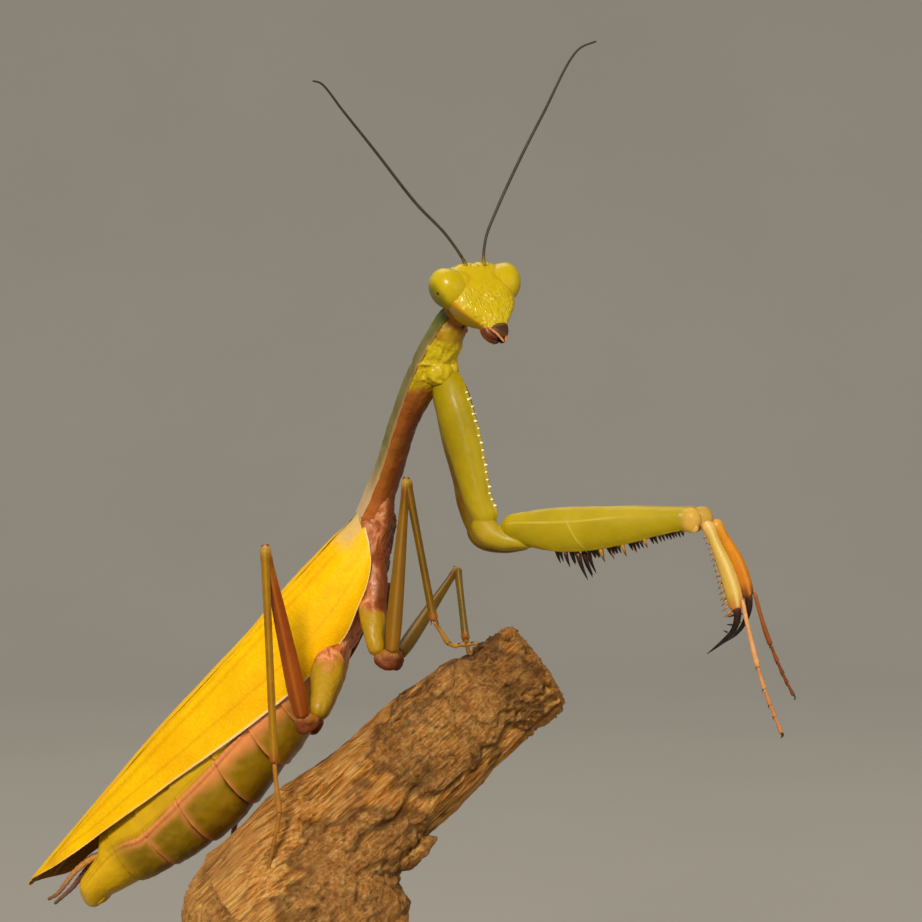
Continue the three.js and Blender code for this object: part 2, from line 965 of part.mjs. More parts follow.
function standRod() {
  const top = PERCH_FOOT - 0.3;
  const foot = BASE_HEIGHT + 0.3;
  const outline = [
    [0, foot],
    [5.4, foot],
    [5.4, foot + 1.2],
    [ROD_RADIUS + 0.3, foot + 1.9],
    [ROD_RADIUS, foot + 2.3],
    [ROD_RADIUS, top - 2],
    [4.4, top - 1.1],
    [4.4, top],
    [0, top],
  ];
  const shape = new THREE.LatheGeometry(
    outline.map(([r, z]) => new THREE.Vector2(r, z)),
    12,
  );
  return shape.rotateX(Math.PI / 2);
}

function standBase() {
  const outline = [
    [0, 0],
    [BASE_RADIUS, 0],
    [BASE_RADIUS, BASE_HEIGHT - 1.2],
    [BASE_RADIUS - 1.2, BASE_HEIGHT],
    [0, BASE_HEIGHT],
  ];
  const shape = new THREE.LatheGeometry(
    outline.map(([r, z]) => new THREE.Vector2(r, z)),
    32,
  );
  return shape.rotateX(Math.PI / 2);
}

// ---------------------------------------------------------------- assembly
const mantis = new THREE.Group();
const display = new THREE.Group();
const specimen = new THREE.Group();
specimen.add(mantis, display);

// Adds a named solid, with its own origin at the given anchor.
function add(group, name, geometry, material, anchor) {
  const shape = geometry.clone().translate(-anchor.x, -anchor.y, -anchor.z);
  const mesh = new THREE.Mesh(shape, material);
  mesh.name = name;
  mesh.position.copy(anchor);
  group.add(mesh);
  return mesh;
}

const headFull = head();
add(mantis, 'head', cut(headFull, eye(-1, GAP), eye(1, GAP)), HEAD_SHELL, HEAD_CENTRE);
add(mantis, 'eye_right', eye(-1), EYE, onHead(-EYE_OFFSET, 0, 0));
add(mantis, 'eye_left', eye(1), EYE, onHead(EYE_OFFSET, 0, 0));
const mouth = join(labrum(), palp(-1), palp(1));
add(mantis, 'mouthparts', cut(mouth, head(GAP)), MOUTH, onHead(0, -5.5, 1.5));
for (const side of ['right', 'left']) {
  const points = FEELERS[side];
  add(mantis, `antenna_${side}`, cut(sweep(feeler(points)), head(GAP)), FEELER, points[0]);
}

const neckSpec = limb(
  [V(16.3, -10.4, 88.9), V(16.9, -11.3, 90.3), V(17.6, -12.3, 91.7)],
  PRO_BACK,
  [
    [0, 1.3],
    [0.5, 1.4],
    [1, 1.25],
  ],
  [
    [0, 1.15],
    [0.5, 1.25],
    [1, 1.2],
  ],
  10,
  4,
  0.05,
  0.05,
);
const plate = pronotum();
const thickPlate = shell(12, 8, (u, v, w) =>
  plateSkin(mix(0.005, 0.995, u), (2 * v - 1) * 1.06, mix(PLATE_THICKNESS + GAP, -GAP, w)),
);
const front = prothorax();
const thickFront = prothorax(GAP);
add(mantis, 'neck', cut(sweep(neckSpec), head(GAP), thickFront, thickPlate), BODY_SIDE, PROTHORAX[5]);
add(mantis, 'pronotum', plate, PLATE, PROTHORAX[3]);

const legs = {};
for (const side of ['right', 'left']) {
  legs[side] = foreleg(FORELEG[side]);
}
const thorax = cut(thoraxShape, thickFront, thickPlate);
add(mantis, 'prothorax', cut(front, thickPlate), BODY_SIDE, PROTHORAX[0]);

for (const side of ['right', 'left']) {
  const leg = legs[side];
  const points = FORELEG[side];
  const coxa = cut(sweep(leg.coxa), thickFront, thickPlate);
  add(mantis, `fore_coxa_${side}`, coxa, FORELEG_SHELL, points.coxa[0]);
  const hip = cut(sweep(leg.trochanter), sweep(leg.coxa, GAP), sweep(leg.femur, GAP));
  add(mantis, `fore_trochanter_${side}`, hip, FORELEG_SHELL, points.trochanter[1]);
  const thighWidth = profile([
    [0.3, 2.1],
    [0.45, 2.15],
    [0.62, 1.9],
    [0.8, 1.4],
  ]);
  const thigh = join(sweep(leg.femur), ...spinesOn(leg.femur, FEMUR_SPINES, thighWidth, 1));
  add(mantis, `fore_femur_${side}`, thigh, FORELEG_SHELL, points.femur[0]);
  const shinSpines = [0.2, 0.32, 0.44, 0.56, 0.68, 0.8].map((t) => [t, 0.8, 0.1]);
  const shin = join(sweep(leg.tibia), sweep(leg.claw), ...spinesOn(leg.tibia, shinSpines, () => 0.75, 1));
  add(mantis, `fore_tibia_${side}`, cut(shin, sweep(leg.femur, GAP)), SPINE, points.tibia[0]);
  const foot = cut(sweep(leg.tarsus), sweep(leg.tibia, GAP), sweep(leg.claw, GAP));
  add(mantis, `fore_tarsus_${side}`, foot, SPINE, points.tarsus[0]);
}

const walkers = {};
for (const [name, points] of Object.entries(WALKING)) {
  walkers[name] = walkingLeg(name, points);
}
const coxae = Object.fromEntries(
  Object.entries(walkers).map(([name, leg]) => [name, sweep(leg.coxa, GAP)]),
);
const hips = Object.values(walkers).map((leg) => sweep(leg.trochanter, GAP));
add(mantis, 'thorax', cut(thorax, ...Object.values(coxae), ...hips), THORAX_SKIN, TRUNK_FRONT);
abdomenShapes.forEach((shape, i) => {
  const name = i === abdomenShapes.length - 1 ? 'abdomen_tip' : `abdomen_${i + 1}`;
  const near = i < 3 ? [coxae.hind_right, coxae.hind_left, ...hips] : [];
  const slice = near.length > 0 ? cut(shape, ...near) : shape;
  add(mantis, name, slice, ABDOMEN, onTrunk(ABDOMEN_ENDS[i], 0, 0));
});
for (const side of [1, -1]) {
  const name = side > 0 ? 'right' : 'left';
  add(mantis, `tegmen_${name}`, cut(tegmen(side), thickPlate, thickFront), TEGMEN, onTrunk(0, side * 3, 3));
  add(mantis, `hindwing_${name}`, hindWing(side), HIND_WING, onTrunk(3, side * 3, 3));
  const tail = [
    onTrunk(48.0, side * 1.5, 1.5),
    onTrunk(49.4, side * 1.9, 1.55),
    onTrunk(51.1, side * 2.1, 1.2),
    onTrunk(53.6, side * 2.1, 0.7),
    onTrunk(55.6, side * 1.8, 0.6),
  ];
  const cercus = limb(tail, TO_RIGHT, [[0, 0.42], [0.5, 0.36], [1, 0.26]], [[0, 0.42], [1, 0.26]], 6, 6);
  add(mantis, `cercus_${name}`, sweep(cercus), SPINE, tail[0]);
}

const feet = [];
for (const [name, leg] of Object.entries(walkers)) {
  const [place, side] = name.split('_');
  const hip = cut(sweep(leg.trochanter), sweep(leg.coxa, GAP), sweep(leg.femur, GAP));
  const points = WALKING[name];
  add(mantis, `${place}_coxa_${side}`, sweep(leg.coxa), WALKING_LEG, points[0]);
  add(mantis, `${place}_trochanter_${side}`, hip, WALKING_LEG, points[1]);
  add(mantis, `${place}_femur_${side}`, sweep(leg.femur), WALKING_LEG, points[2]);
  add(mantis, `${place}_tibia_${side}`, cut(sweep(leg.tibia), sweep(leg.femur, GAP)), WALKING_LEG, points[3]);
  add(mantis, `${place}_tarsus_${side}`, cut(sweep(leg.tarsus), sweep(leg.tibia, GAP)), WALKING_LEG, points[4]);
  feet.push(sweep(leg.tarsus, GAP), sweep(leg.tibia, GAP));
}

add(display, 'perch', cut(perch(), ...feet), BARK, V(0, 0, PERCH_FOOT));
add(display, 'stand_rod', standRod(), STAND, V(0, 0, BASE_HEIGHT));
add(display, 'stand_base', standBase(), STAND, V(0, 0, 0));

export default specimen;
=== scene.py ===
"""A museum model of a praying mantis on a cut length of branch, raised on a round base.

Shapes are worked out in millimetres, in the part's own frame, and become metres when a piece
is finished. The right side of the insect faces -Y and it heads along +X.
"""

import math

import bmesh
import bpy
import numpy as np
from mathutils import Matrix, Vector
from mathutils.kdtree import KDTree


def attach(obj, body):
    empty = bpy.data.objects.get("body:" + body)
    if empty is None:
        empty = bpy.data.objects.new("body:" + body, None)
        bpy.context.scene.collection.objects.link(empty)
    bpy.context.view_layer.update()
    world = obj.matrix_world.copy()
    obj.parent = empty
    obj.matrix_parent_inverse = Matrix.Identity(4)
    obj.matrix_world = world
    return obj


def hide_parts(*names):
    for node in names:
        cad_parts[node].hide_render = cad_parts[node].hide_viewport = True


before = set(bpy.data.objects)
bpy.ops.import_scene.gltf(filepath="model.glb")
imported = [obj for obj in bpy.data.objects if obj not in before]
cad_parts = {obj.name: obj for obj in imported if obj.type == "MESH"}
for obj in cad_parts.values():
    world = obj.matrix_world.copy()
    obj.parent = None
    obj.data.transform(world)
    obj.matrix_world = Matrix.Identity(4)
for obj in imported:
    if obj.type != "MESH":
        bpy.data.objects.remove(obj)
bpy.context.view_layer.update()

MM = 0.001
TURN = 2 * math.pi
# The angle from each hair on a limb to the next.
HAIR_TURN = 2.4


# ---------------------------------------------------------------- numbers and curves
def unit(a):
    """Vectors of length 1 that point the same way."""
    return a / np.linalg.norm(a, axis=-1, keepdims=True)


def mix(a, b, t):
    """Goes from a to b as t goes from 0 to 1."""
    return a + (b - a) * t


def ease(a, b, x):
    """Goes smoothly from 0 to 1 as x goes from a to b."""
    t = np.clip((x - a) / (b - a), 0, 1)
    return t * t * (3 - 2 * t)


def hill(x, centre, half):
    """A smooth hump: 1 at its centre, and 0.37 at half its width either side."""
    return np.exp(-(((x - centre) / half) ** 2))


def saw(x):
    """Rises from 0 to 1 over each whole step of x."""
    return x - np.floor(x)


def stack(*columns):
    """Points or masks from their separate columns; a column may be one number."""
    return np.stack(np.broadcast_arrays(*columns), axis=-1)


def far_from(centre, points, stretch=1):
    """How far the points are from a centre, each axis multiplied by its stretch."""
    return np.linalg.norm((points - np.array(centre)) * stretch, axis=1)


def rounded(x, head, tail, start=0, end=1):
    """1 along a body, falling in a round arc to 0 over head at its start and tail at its end."""
    shut = np.clip(np.maximum(1 - (x - start) / head, 1 - (end - x) / tail), 0, 1)
    return np.sqrt(1 - shut**2)


def ball(u, v):
    """The coordinates of a unit ball's skin: u runs from pole to pole, and v round it."""
    tilt, angle = math.pi * u, TURN * v
    return np.sin(tilt) * np.cos(angle), np.sin(tilt) * np.sin(angle), np.cos(tilt)


def barrel(t, angle, length, radius):
    """Points on a cylinder's skin, which carry the noise on a round body."""
    return stack(t * length, np.sin(angle) * radius, np.cos(angle) * radius)


def profile(*pairs):
    """A smooth curve through (place, value) pairs."""
    place, value = np.array(pairs, float).T
    before = np.maximum(np.arange(len(place)) - 1, 0)
    after = np.minimum(np.arange(len(place)) + 1, len(place) - 1)
    slope = (value[after] - value[before]) / (place[after] - place[before])

    def at(x):
        x = np.clip(x, place[0], place[-1])
        i = np.clip(np.searchsorted(place, x, side="right") - 1, 0, len(place) - 2)
        h = place[i + 1] - place[i]
        t = (x - place[i]) / h
        bend = (1 + 2 * t) * (1 - t) ** 2 * value[i] + t * t * (3 - 2 * t) * value[i + 1]
        return bend + h * (t * (1 - t) ** 2 * slope[i] - t * t * (1 - t) * slope[i + 1])

    return at


def grain(p, seed=0):
    """Smooth noise from -1 to 1 at the points p, the same on every run."""
    cell = np.floor(p).astype(np.int64)
    part = p - cell
    part = part * part * (3 - 2 * part)
    total = 0
    for corner in range(8):
        step = np.array((corner & 1, corner >> 1 & 1, corner >> 2))
        key = (cell + step) @ np.array((73856093, 19349663, 83492791)) + seed * 7919
        key = (key ^ (key >> 13)) * 1274126177 % 2147483647
        key = (key ^ (key >> 11)) * 97 % 65536
        total = total + key * np.prod(np.where(step, part, 1 - part), axis=-1)
    return total / 32767.5 - 1


def rough(p, octaves=4, seed=0):
    """Noise with finer noise on it."""
    return sum(0.5**i * grain(p * 2.03**i, seed + i) for i in range(octaves))


def creases(p, octaves=3, seed=0, fade=0.5):
    """Noise with sharp ridges, from 0 to about 1."""
    return sum(fade**i * (1 - 2 * np.abs(grain(p * 2.1**i, seed + i))) for i in range(octaves))


class Path:
    """A smooth curve through points, measured along its length from 0 to 1."""

    def __init__(self, points):
        knots = np.array(points, float)
        ends = [2 * knots[0] - knots[1], *knots, 2 * knots[-1] - knots[-2]]
        t = np.linspace(0, 1, 41)[:-1, None]
        fine = [self.span(t, *ends[i : i + 4]) for i in range(len(ends) - 3)]
        self.points = np.vstack([*fine, knots[-1:]])
        step = np.linalg.norm(np.diff(self.points, axis=0), axis=1)
        self.length = step.sum()
        self.place = np.concatenate([[0], np.cumsum(step)]) / self.length
        self.slope = unit(np.gradient(self.points, self.place, axis=0))

    @staticmethod
    def span(t, a, b, c, d):
        gaps = [max(1e-6, np.linalg.norm(q - p)) ** 0.5 for p, q in ((a, b), (b, c), (c, d))]
        first = ((b - a) / gaps[0] - (c - a) / (gaps[0] + gaps[1]) + (c - b) / gaps[1]) * gaps[1]
        last = ((c - b) / gaps[1] - (d - b) / (gaps[1] + gaps[2]) + (d - c) / gaps[2]) * gaps[1]
        rise = (2 * t**3 - 3 * t**2 + 1) * b + (t**3 - 2 * t**2 + t) * first
        return rise + (3 * t**2 - 2 * t**3) * c + (t**3 - t**2) * last

    def pick(self, table, t):
        return np.stack([np.interp(t, self.place, axis) for axis in table.T], axis=-1)

    def at(self, t):
        return self.pick(self.points, t)

    def along(self, t):
        return unit(self.pick(self.slope, t))

    def frame(self, t, up):
        """The curve's own directions at t: along it, sideways and up."""
        along = self.along(t)
        up = np.asarray(up, float)
        above = unit(up - along * (along @ up)[..., None])
        return along, np.cross(along, above), above

    def axes(self, t, up):
        """The middle of the curve at one place, and the curve's own directions there."""
        place = np.array([float(t)])
        return self.at(place)[0], *(axis[0] for axis in self.frame(place, up))


# ---------------------------------------------------------------- building a piece
def new_object(name, data):
    """An object of the scene that shows the data."""
    made = bpy.data.objects.new(name, data)
    bpy.context.scene.collection.objects.link(made)
    return made


def one_skin(mesh, cell):
    """The outer skin of all the bodies in a mesh, as one net of even cells."""
    lump = new_object("lump", mesh)
    weld = lump.modifiers.new("weld", "REMESH")
    weld.mode = "VOXEL"
    weld.voxel_size = cell
    bpy.context.view_layer.update()
    whole = lump.evaluated_get(bpy.context.evaluated_depsgraph_get())
    skin = bpy.data.meshes.new_from_object(whole)
    bpy.data.objects.remove(lump)
    bpy.data.meshes.remove(mesh)
    return skin


class Piece:
    """A mesh in the making, with its UV map and up to four painted masks."""

    def __init__(self):
        self.mesh = bmesh.new()
        self.uv = self.mesh.loops.layers.uv.new("UVMap")
        self.marks = self.mesh.verts.layers.float_color.new("marks")

    def skin(self, along, around, at, finish=0, marks=None):
        """Bends a grid of along by around cells over at(u, v) and welds its edges shut."""
        first = len(self.mesh.faces)
        made = bmesh.ops.create_grid(self.mesh, x_segments=along, y_segments=around, size=0.5)
        verts = made["verts"]
        self.mesh.faces.ensure_lookup_table()
        for face in self.mesh.faces[first:]:
            face.smooth = True
            face.material_index = finish
            for loop in face.loops:
                loop[self.uv].uv = loop.vert.co.xy + Vector((0.5, 0.5))
        u, v = np.array([vert.co[:2] for vert in verts]).T + 0.5
        points = at(u, v)
        if marks is not None:
            masks = np.zeros((len(verts), 4))
            for channel, mask in enumerate(marks(u, v, points)):
                masks[:, channel] = mask
            for vert, mask in zip(verts, masks.tolist()):
                vert[self.marks] = mask
        for vert, point in zip(verts, points.tolist()):
            vert.co = point
        bmesh.ops.remove_doubles(self.mesh, verts=verts, dist=2e-5)

    def tube(self, path, up, section, steps, sides, finish=0, marks=None):
        """A body along a path. section(t, angle) gives its skin's offsets sideways and up."""

        def at(u, v):
            _, side, above = path.frame(u, up)
            a, b = section(u, TURN * v)
            return path.at(u) + side * a[:, None] + above * b[:, None]

        self.skin(steps, sides, at, finish, marks)

    def limb(self, points, up, across, deep, steps=60, sides=28, head=0.06, tail=0.06,
             relief=None, finish=0, marks=None):
        """An oval body with rounded ends. relief(t, angle) raises or sinks its skin."""
        path = points if isinstance(points, Path) else Path(points)
        wide = across if callable(across) else profile(*across)
        tall = deep if callable(deep) else profile(*deep)

        def section(t, angle):
            close = rounded(t, head, tail)
            a, b = np.sin(angle) * wide(t) * close, np.cos(angle) * tall(t) * close
            if relief is None:
                return a, b
            lift = relief(t, angle) * close / np.maximum(np.hypot(a, b), 1e-3)
            return a * (1 + lift), b * (1 + lift)

        self.tube(path, up, section, steps, sides, finish, marks)

    def spine(self, root, tip, radius, finish=0, bend=(0, 0, 0), steps=7, sides=7):
        """A sharp spine, its middle pushed aside by bend."""
        root, tip = np.array(root, float), np.array(tip, float)
        path = Path([root, mix(root, tip, 0.5) + np.array(bend), tip])
        taper = profile((0, radius), (0.5, 0.62 * radius), (1, 0.1 * radius))
        self.limb(path, (0.3, 0.5, 0.81), taper, taper, steps, sides, 0.02, 0.05, finish=finish)

    def bead(self, centre, size, finish=0, cells=12):
        """A small rounded body with its own three half sizes."""
        self.skin(cells, 2 * cells, lambda u, v: centre + stack(*ball(u, v)) * size, finish)

    def hairs(self, path, up, count, first, span, height, length, radius, finish=0):
        """Fine hairs that lean along a body, set round it in a spiral."""
        for i in range(count):
            centre, along, aside, above = path.axes(first + span * i / count, up)
            out = aside * math.cos(HAIR_TURN * i) + above * math.sin(HAIR_TURN * i)
            tip = centre + out * (height + length) + along * 0.3
            self.spine(centre + out * height, tip, radius, finish, steps=2, sides=3)

    def fuse(self, cell, softening=2):
        """Makes one skin of bodies that run into each other. It keeps their masks and their UVs."""
        bmesh.ops.recalc_face_normals(self.mesh, faces=self.mesh.faces)
        old = list(self.mesh.verts)
        masks = [tuple(vert[self.marks]) for vert in old]
        charts = [tuple(vert.link_loops[0][self.uv].uv) for vert in old]
        nearest = KDTree(len(old))
        for i, vert in enumerate(old):
            nearest.insert(vert.co, i)
        nearest.balance()
        bodies = bpy.data.meshes.new("bodies")
        self.mesh.to_mesh(bodies)
        self.mesh.free()
        skin = one_skin(bodies, cell)
        self.mesh = bmesh.new()
        self.mesh.from_mesh(skin)
        bpy.data.meshes.remove(skin)
        self.uv = self.mesh.loops.layers.uv.new("UVMap")
        self.marks = self.mesh.verts.layers.float_color.new("marks")
        verts = list(self.mesh.verts)
        for vert in verts:
            near = nearest.find_n(vert.co, 3)
            shares = [1 / (0.02 + distance) for _, _, distance in near]
            total = sum(shares)
            vert[self.marks] = [sum(w * masks[i][k] for w, (_, i, _) in zip(shares, near)) / total
                                for k in range(4)]
            for loop in vert.link_loops:
                loop[self.uv].uv = charts[near[0][1]]
        for face in self.mesh.faces:
            face.smooth = True
        for _ in range(softening):
            bmesh.ops.smooth_vert(self.mesh, verts=verts, factor=0.5, use_axis_x=True,
                                  use_axis_y=True, use_axis_z=True)

    def crease(self, lift, masks):
        """Moves the skin's points out by lift(points, masks) mm, and repaints their masks."""
        self.mesh.normal_update()
        verts = list(self.mesh.verts)
        points = np.array([vert.co[:] for vert in verts])
        out = np.array([vert.normal[:] for vert in verts])
        old = np.array([vert[self.marks][:] for vert in verts])
        moved = points + out * lift(points, old)[:, None]
        new = np.clip(masks(points, old), 0, 1)
        for vert, point, mask in zip(verts, moved.tolist(), new.tolist()):
            vert.co = point
            vert[self.marks] = mask

    def finish(self, name, slot, replaces, *materials):
        """Turns the piece into an object that stands for the named nodes."""
        bmesh.ops.recalc_face_normals(self.mesh, faces=self.mesh.faces)
        bmesh.ops.scale(self.mesh, vec=(MM, MM, MM), verts=self.mesh.verts)
        mesh = bpy.data.meshes.new(name)
        self.mesh.to_mesh(mesh)
        self.mesh.free()
        for material in materials:
            mesh.materials.append(material)
        made = new_object(name, mesh)
        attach(made, "root")
        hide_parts(*replaces)
        return made


def wrap(v, edge=3.0):
    """Walks round a thin sheet: across runs -1 to 1 and back, side is 1 on top, -1 below."""
    return -np.cos(TURN * v), np.clip(edge * np.sin(TURN * v), -1, 1)


# ---------------------------------------------------------------- materials
def linear(colour):
    """A shader's colour: three screen values from 0 to 255 are turned, and four stay as they are."""
    if len(colour) == 4:
        return colour
    parts = [c / 255 for c in colour]
    return (*[c / 12.92 if c < 0.04 else ((c + 0.055) / 1.055) ** 2.4 for c in parts], 1)


def new_material(name):
    """A material, its nodes, and the inputs of its shader."""
    material = bpy.data.materials.new(name)
    material.use_nodes = True
    shader = material.node_tree.nodes["Principled BSDF"].inputs
    return material, Nodes(material.node_tree), shader


class Nodes:
    """Adds nodes to a tree; a socket given as an input is linked, anything else is its value."""

    def __init__(self, tree):
        self.tree = tree

    def set(self, socket, value):
        """Links a socket to its input, or gives it a value; a colour may be in screen values."""
        if isinstance(value, bpy.types.NodeSocket):
            self.tree.links.new(value, socket)
        elif socket.type == "RGBA":
            socket.default_value = linear(value)
        else:
            socket.default_value = value

    def add(self, kind, inputs, output=0, **settings):
        node = self.tree.nodes.new("ShaderNode" + kind)
        for key, value in settings.items():
            setattr(node, key, value)
        for name, value in inputs.items():
            self.set(node.inputs[name], value)
        return node.outputs[output]

    def math(self, operation, a, b=0.0, clamp=False):
        return self.add("Math", {0: a, 1: b}, operation=operation, use_clamp=clamp)

    def mix(self, factor, a, b):
        return self.add("Mix", {0: factor, 6: a, 7: b}, 2, data_type="RGBA")

    def between(self, value, low, high, to_low=0.0, to_high=1.0):
        inputs = {"Value": value, "From Min": low, "From Max": high, "To Min": to_low,
                  "To Max": to_high}
        return self.add("MapRange", inputs, interpolation_type="SMOOTHSTEP")

    def ramp(self, value, *stops):
        node = self.tree.nodes.new("ShaderNodeValToRGB")
        self.set(node.inputs[0], value)
        marks = node.color_ramp.elements
        while len(marks) < len(stops):
            marks.new(0.5)
        for mark, (place, colour) in zip(marks, stops):
            mark.position = place
            mark.color = linear(colour)
        return node.outputs[0]

    def noise(self, vector, scale, detail=3.0, fade=0.55):
        inputs = {"Vector": vector, "Scale": scale, "Detail": detail, "Roughness": fade}
        return self.add("TexNoise", inputs)

    def cells(self, vector, scale, feature="F1"):
        return self.add("TexVoronoi", {"Vector": vector, "Scale": scale}, feature=feature)

    def stretch(self, vector, *sizes):
        return self.add("Mapping", {"Vector": vector, "Scale": sizes})

    def place(self):
        return self.add("TexCoord", {}, "Object")

    def chart(self):
        return self.add("UVMap", {}, uv_map="UVMap")

    def painted(self):
        """The four masks painted on a piece."""
        masks = self.tree.nodes.new("ShaderNodeAttribute")
        masks.attribute_name = "marks"
        split = self.tree.nodes.new("ShaderNodeSeparateColor")
        self.set(split.inputs[0], masks.outputs["Color"])
        return [*split.outputs, masks.outputs["Alpha"]]

    def group(self, effect, inputs):
        node = self.tree.nodes.new("ShaderNodeGroup")
        node.node_tree = effect
        for name, value in inputs.items():
            self.set(node.inputs[name], value)
        return node.outputs[0]


def effect(name, inputs, outputs):
    """An empty node group and the sockets that its nodes read and feed."""
    tree = bpy.data.node_groups.new(name, "ShaderNodeTree")
    kinds = {"colour": "NodeSocketColor", "number": "NodeSocketFloat", "vector": "NodeSocketVector"}
    for label, kind in inputs.items():
        tree.interface.new_socket(label, in_out="INPUT", socket_type=kinds[kind])
    for label, kind in outputs.items():
        tree.interface.new_socket(label, in_out="OUTPUT", socket_type=kinds[kind])
    source = tree.nodes.new("NodeGroupInput").outputs
    sink = tree.nodes.new("NodeGroupOutput").inputs
    return Nodes(tree), source, sink


def make_mottle():
    """Clouds of a second colour over the first, coarse and fine together."""
    wanted = {"Colour": "colour", "Second": "colour", "Scale": "number", "Amount": "number"}
    nodes, source, sink = effect("mottle", wanted, {"Colour": "colour"})
    place = nodes.place()
    coarse = nodes.noise(place, source["Scale"], 2.0)
    fine = nodes.noise(place, nodes.math("MULTIPLY", source["Scale"], 5.3), 4.0)
    both = nodes.math("ADD", nodes.math("MULTIPLY", coarse, 0.65), nodes.math("MULTIPLY", fine, 0.35))
    cloud = nodes.between(both, 0.36, 0.66)
    share = nodes.math("MULTIPLY", cloud, source["Amount"], clamp=True)
    nodes.set(sink["Colour"], nodes.mix(share, source["Colour"], source["Second"]))
    return nodes.tree


def make_pits():
    """The height of fine pits between low swellings, as on hard insect skin."""
    nodes, source, sink = effect("pits", {"Scale": "number", "Swell": "number"}, {"Height": "number"})
    place = nodes.place()
    pit = nodes.between(nodes.cells(place, source["Scale"]), 0.05, 0.5)
    swell = nodes.noise(place, nodes.math("MULTIPLY", source["Scale"], 0.22), 3.0)
    low = nodes.math("MULTIPLY", swell, source["Swell"])
    nodes.set(sink["Height"], nodes.math("ADD", nodes.math("MULTIPLY", pit, 0.5), low))
    return nodes.tree


MOTTLE = make_mottle()
PITS = make_pits()


def cuticle(name, base, second, length=(), tints=(), patch=260.0, amount=0.6, pits=9000.0,
            swell=0.6, depth=0.00001, gloss=(0.34, 0.52), shine=0.24, coat=0.08, coat_rough=0.2,
            streak=None):
    """Hard insect skin: clouded colour, colours along its length, painted masks and pits."""
    material, nodes, shader = new_material(name)
    colour = base
    if length:
        along = nodes.add("SeparateXYZ", {0: nodes.chart()})
        wander = nodes.math("SUBTRACT", nodes.noise(nodes.place(), 420.0), 0.5)
        along = nodes.math("ADD", along, nodes.math("MULTIPLY", wander, 0.05))
        colour = nodes.ramp(along, *length)
    values = {"Colour": colour, "Second": second, "Scale": patch, "Amount": amount}
    colour = nodes.group(MOTTLE, values)
    if tints:
        for mask, tint in zip(nodes.painted(), tints):
            colour = nodes.mix(mask, colour, tint)
    if streak:
        tint, share, sizes = streak
        lines = nodes.between(nodes.noise(nodes.stretch(nodes.place(), *sizes), 1.0, 3.0), 0.5, 0.7)
        colour = nodes.mix(nodes.math("MULTIPLY", lines, share), colour, tint)
    nodes.set(shader["Base Color"], colour)
    height = nodes.group(PITS, {"Scale": pits, "Swell": swell})
    wear = nodes.noise(nodes.place(), patch * 2.3, 3.0)
    nodes.set(shader["Roughness"], nodes.between(wear, 0.3, 0.7, *gloss))
    bump = nodes.add("Bump", {"Height": height, "Distance": depth, "Strength": 1.0})
    nodes.set(shader["Normal"], bump)
    shader["Specular IOR Level"].default_value = shine
    shader["Coat Weight"].default_value = coat
    shader["Coat Roughness"].default_value = coat_rough
    return material


# ---------------------------------------------------------------- camera, light and floor
def make_camera():
    data = bpy.data.cameras.new("camera")
    data.lens = 100
    data.sensor_width = 36
    data.clip_start = 0.01
    data.clip_end = 10
    camera = new_object("camera", data)
    camera.location = (0.017, -0.269, 0.075)
    camera.rotation_euler = (math.pi / 2, 0, 0)
    bpy.context.scene.camera = camera


def make_lamp(name, place, aim, size, watts, colour):
    """A round lamp that the camera doesn't see."""
    data = bpy.data.lights.new(name, "AREA")
    data.shape = "DISK"
    data.size = size
    data.energy = watts
    data.color = colour
    lamp = new_object(name, data)
    lamp.location = place
    lamp.rotation_euler = (Vector(aim) - Vector(place)).to_track_quat("-Z", "Y").to_euler()
    lamp.visible_camera = False


def make_studio():
    """A pale floor that curves up into a round wall, so that every side has a plain ground."""
    flat, bend, top, steps = 0.55, 0.35, 1.3, 16
    bowl = bmesh.new()
    ring = bmesh.ops.create_circle(bowl, cap_ends=True, radius=flat, segments=96)["verts"]
    edges = list({edge for vert in ring for edge in vert.link_edges})
    for step in range(1, steps + 1):
        angle = math.pi / 2 * step / steps
        radius, height = flat + bend * math.sin(angle), bend * (1 - math.cos(angle))
        made = bmesh.ops.extrude_edge_only(bowl, edges=edges)["geom"]
        edges = [item for item in made if isinstance(item, bmesh.types.BMEdge)]
        for vert in (item for item in made if isinstance(item, bmesh.types.BMVert)):
            vert.co = (*(vert.co.xy.normalized() * radius), height)
    made = bmesh.ops.extrude_edge_only(bowl, edges=edges)["geom"]
    for vert in (item for item in made if isinstance(item, bmesh.types.BMVert)):
        vert.co.z = top
    for face in bowl.faces:
        face.smooth = True
    bmesh.ops.recalc_face_normals(bowl, faces=bowl.faces)
    bmesh.ops.reverse_faces(bowl, faces=bowl.faces)
    mesh = bpy.data.meshes.new("studio_floor")
    bowl.to_mesh(mesh)
    bowl.free()
    material, nodes, shader = new_material("studio_grey")
    paint = {"Colour": (132, 127, 117), "Second": (136, 131, 121), "Scale": 2.0, "Amount": 1.0}
    nodes.set(shader["Base Color"], nodes.group(MOTTLE, paint))
    # The ground glows a little, which keeps it even from the floor to the wall.
    glow = {"Colour": (106, 103, 96), "Second": (109, 106, 99), "Scale": 2.0, "Amount": 1.0}
    nodes.set(shader["Emission Color"], nodes.group(MOTTLE, glow))
    shader["Emission Strength"].default_value = 1.0
    shader["Roughness"].default_value = 0.9
    shader["Specular IOR Level"].default_value = 0.1
    mesh.materials.append(material)
    floor = new_object("studio_floor", mesh)


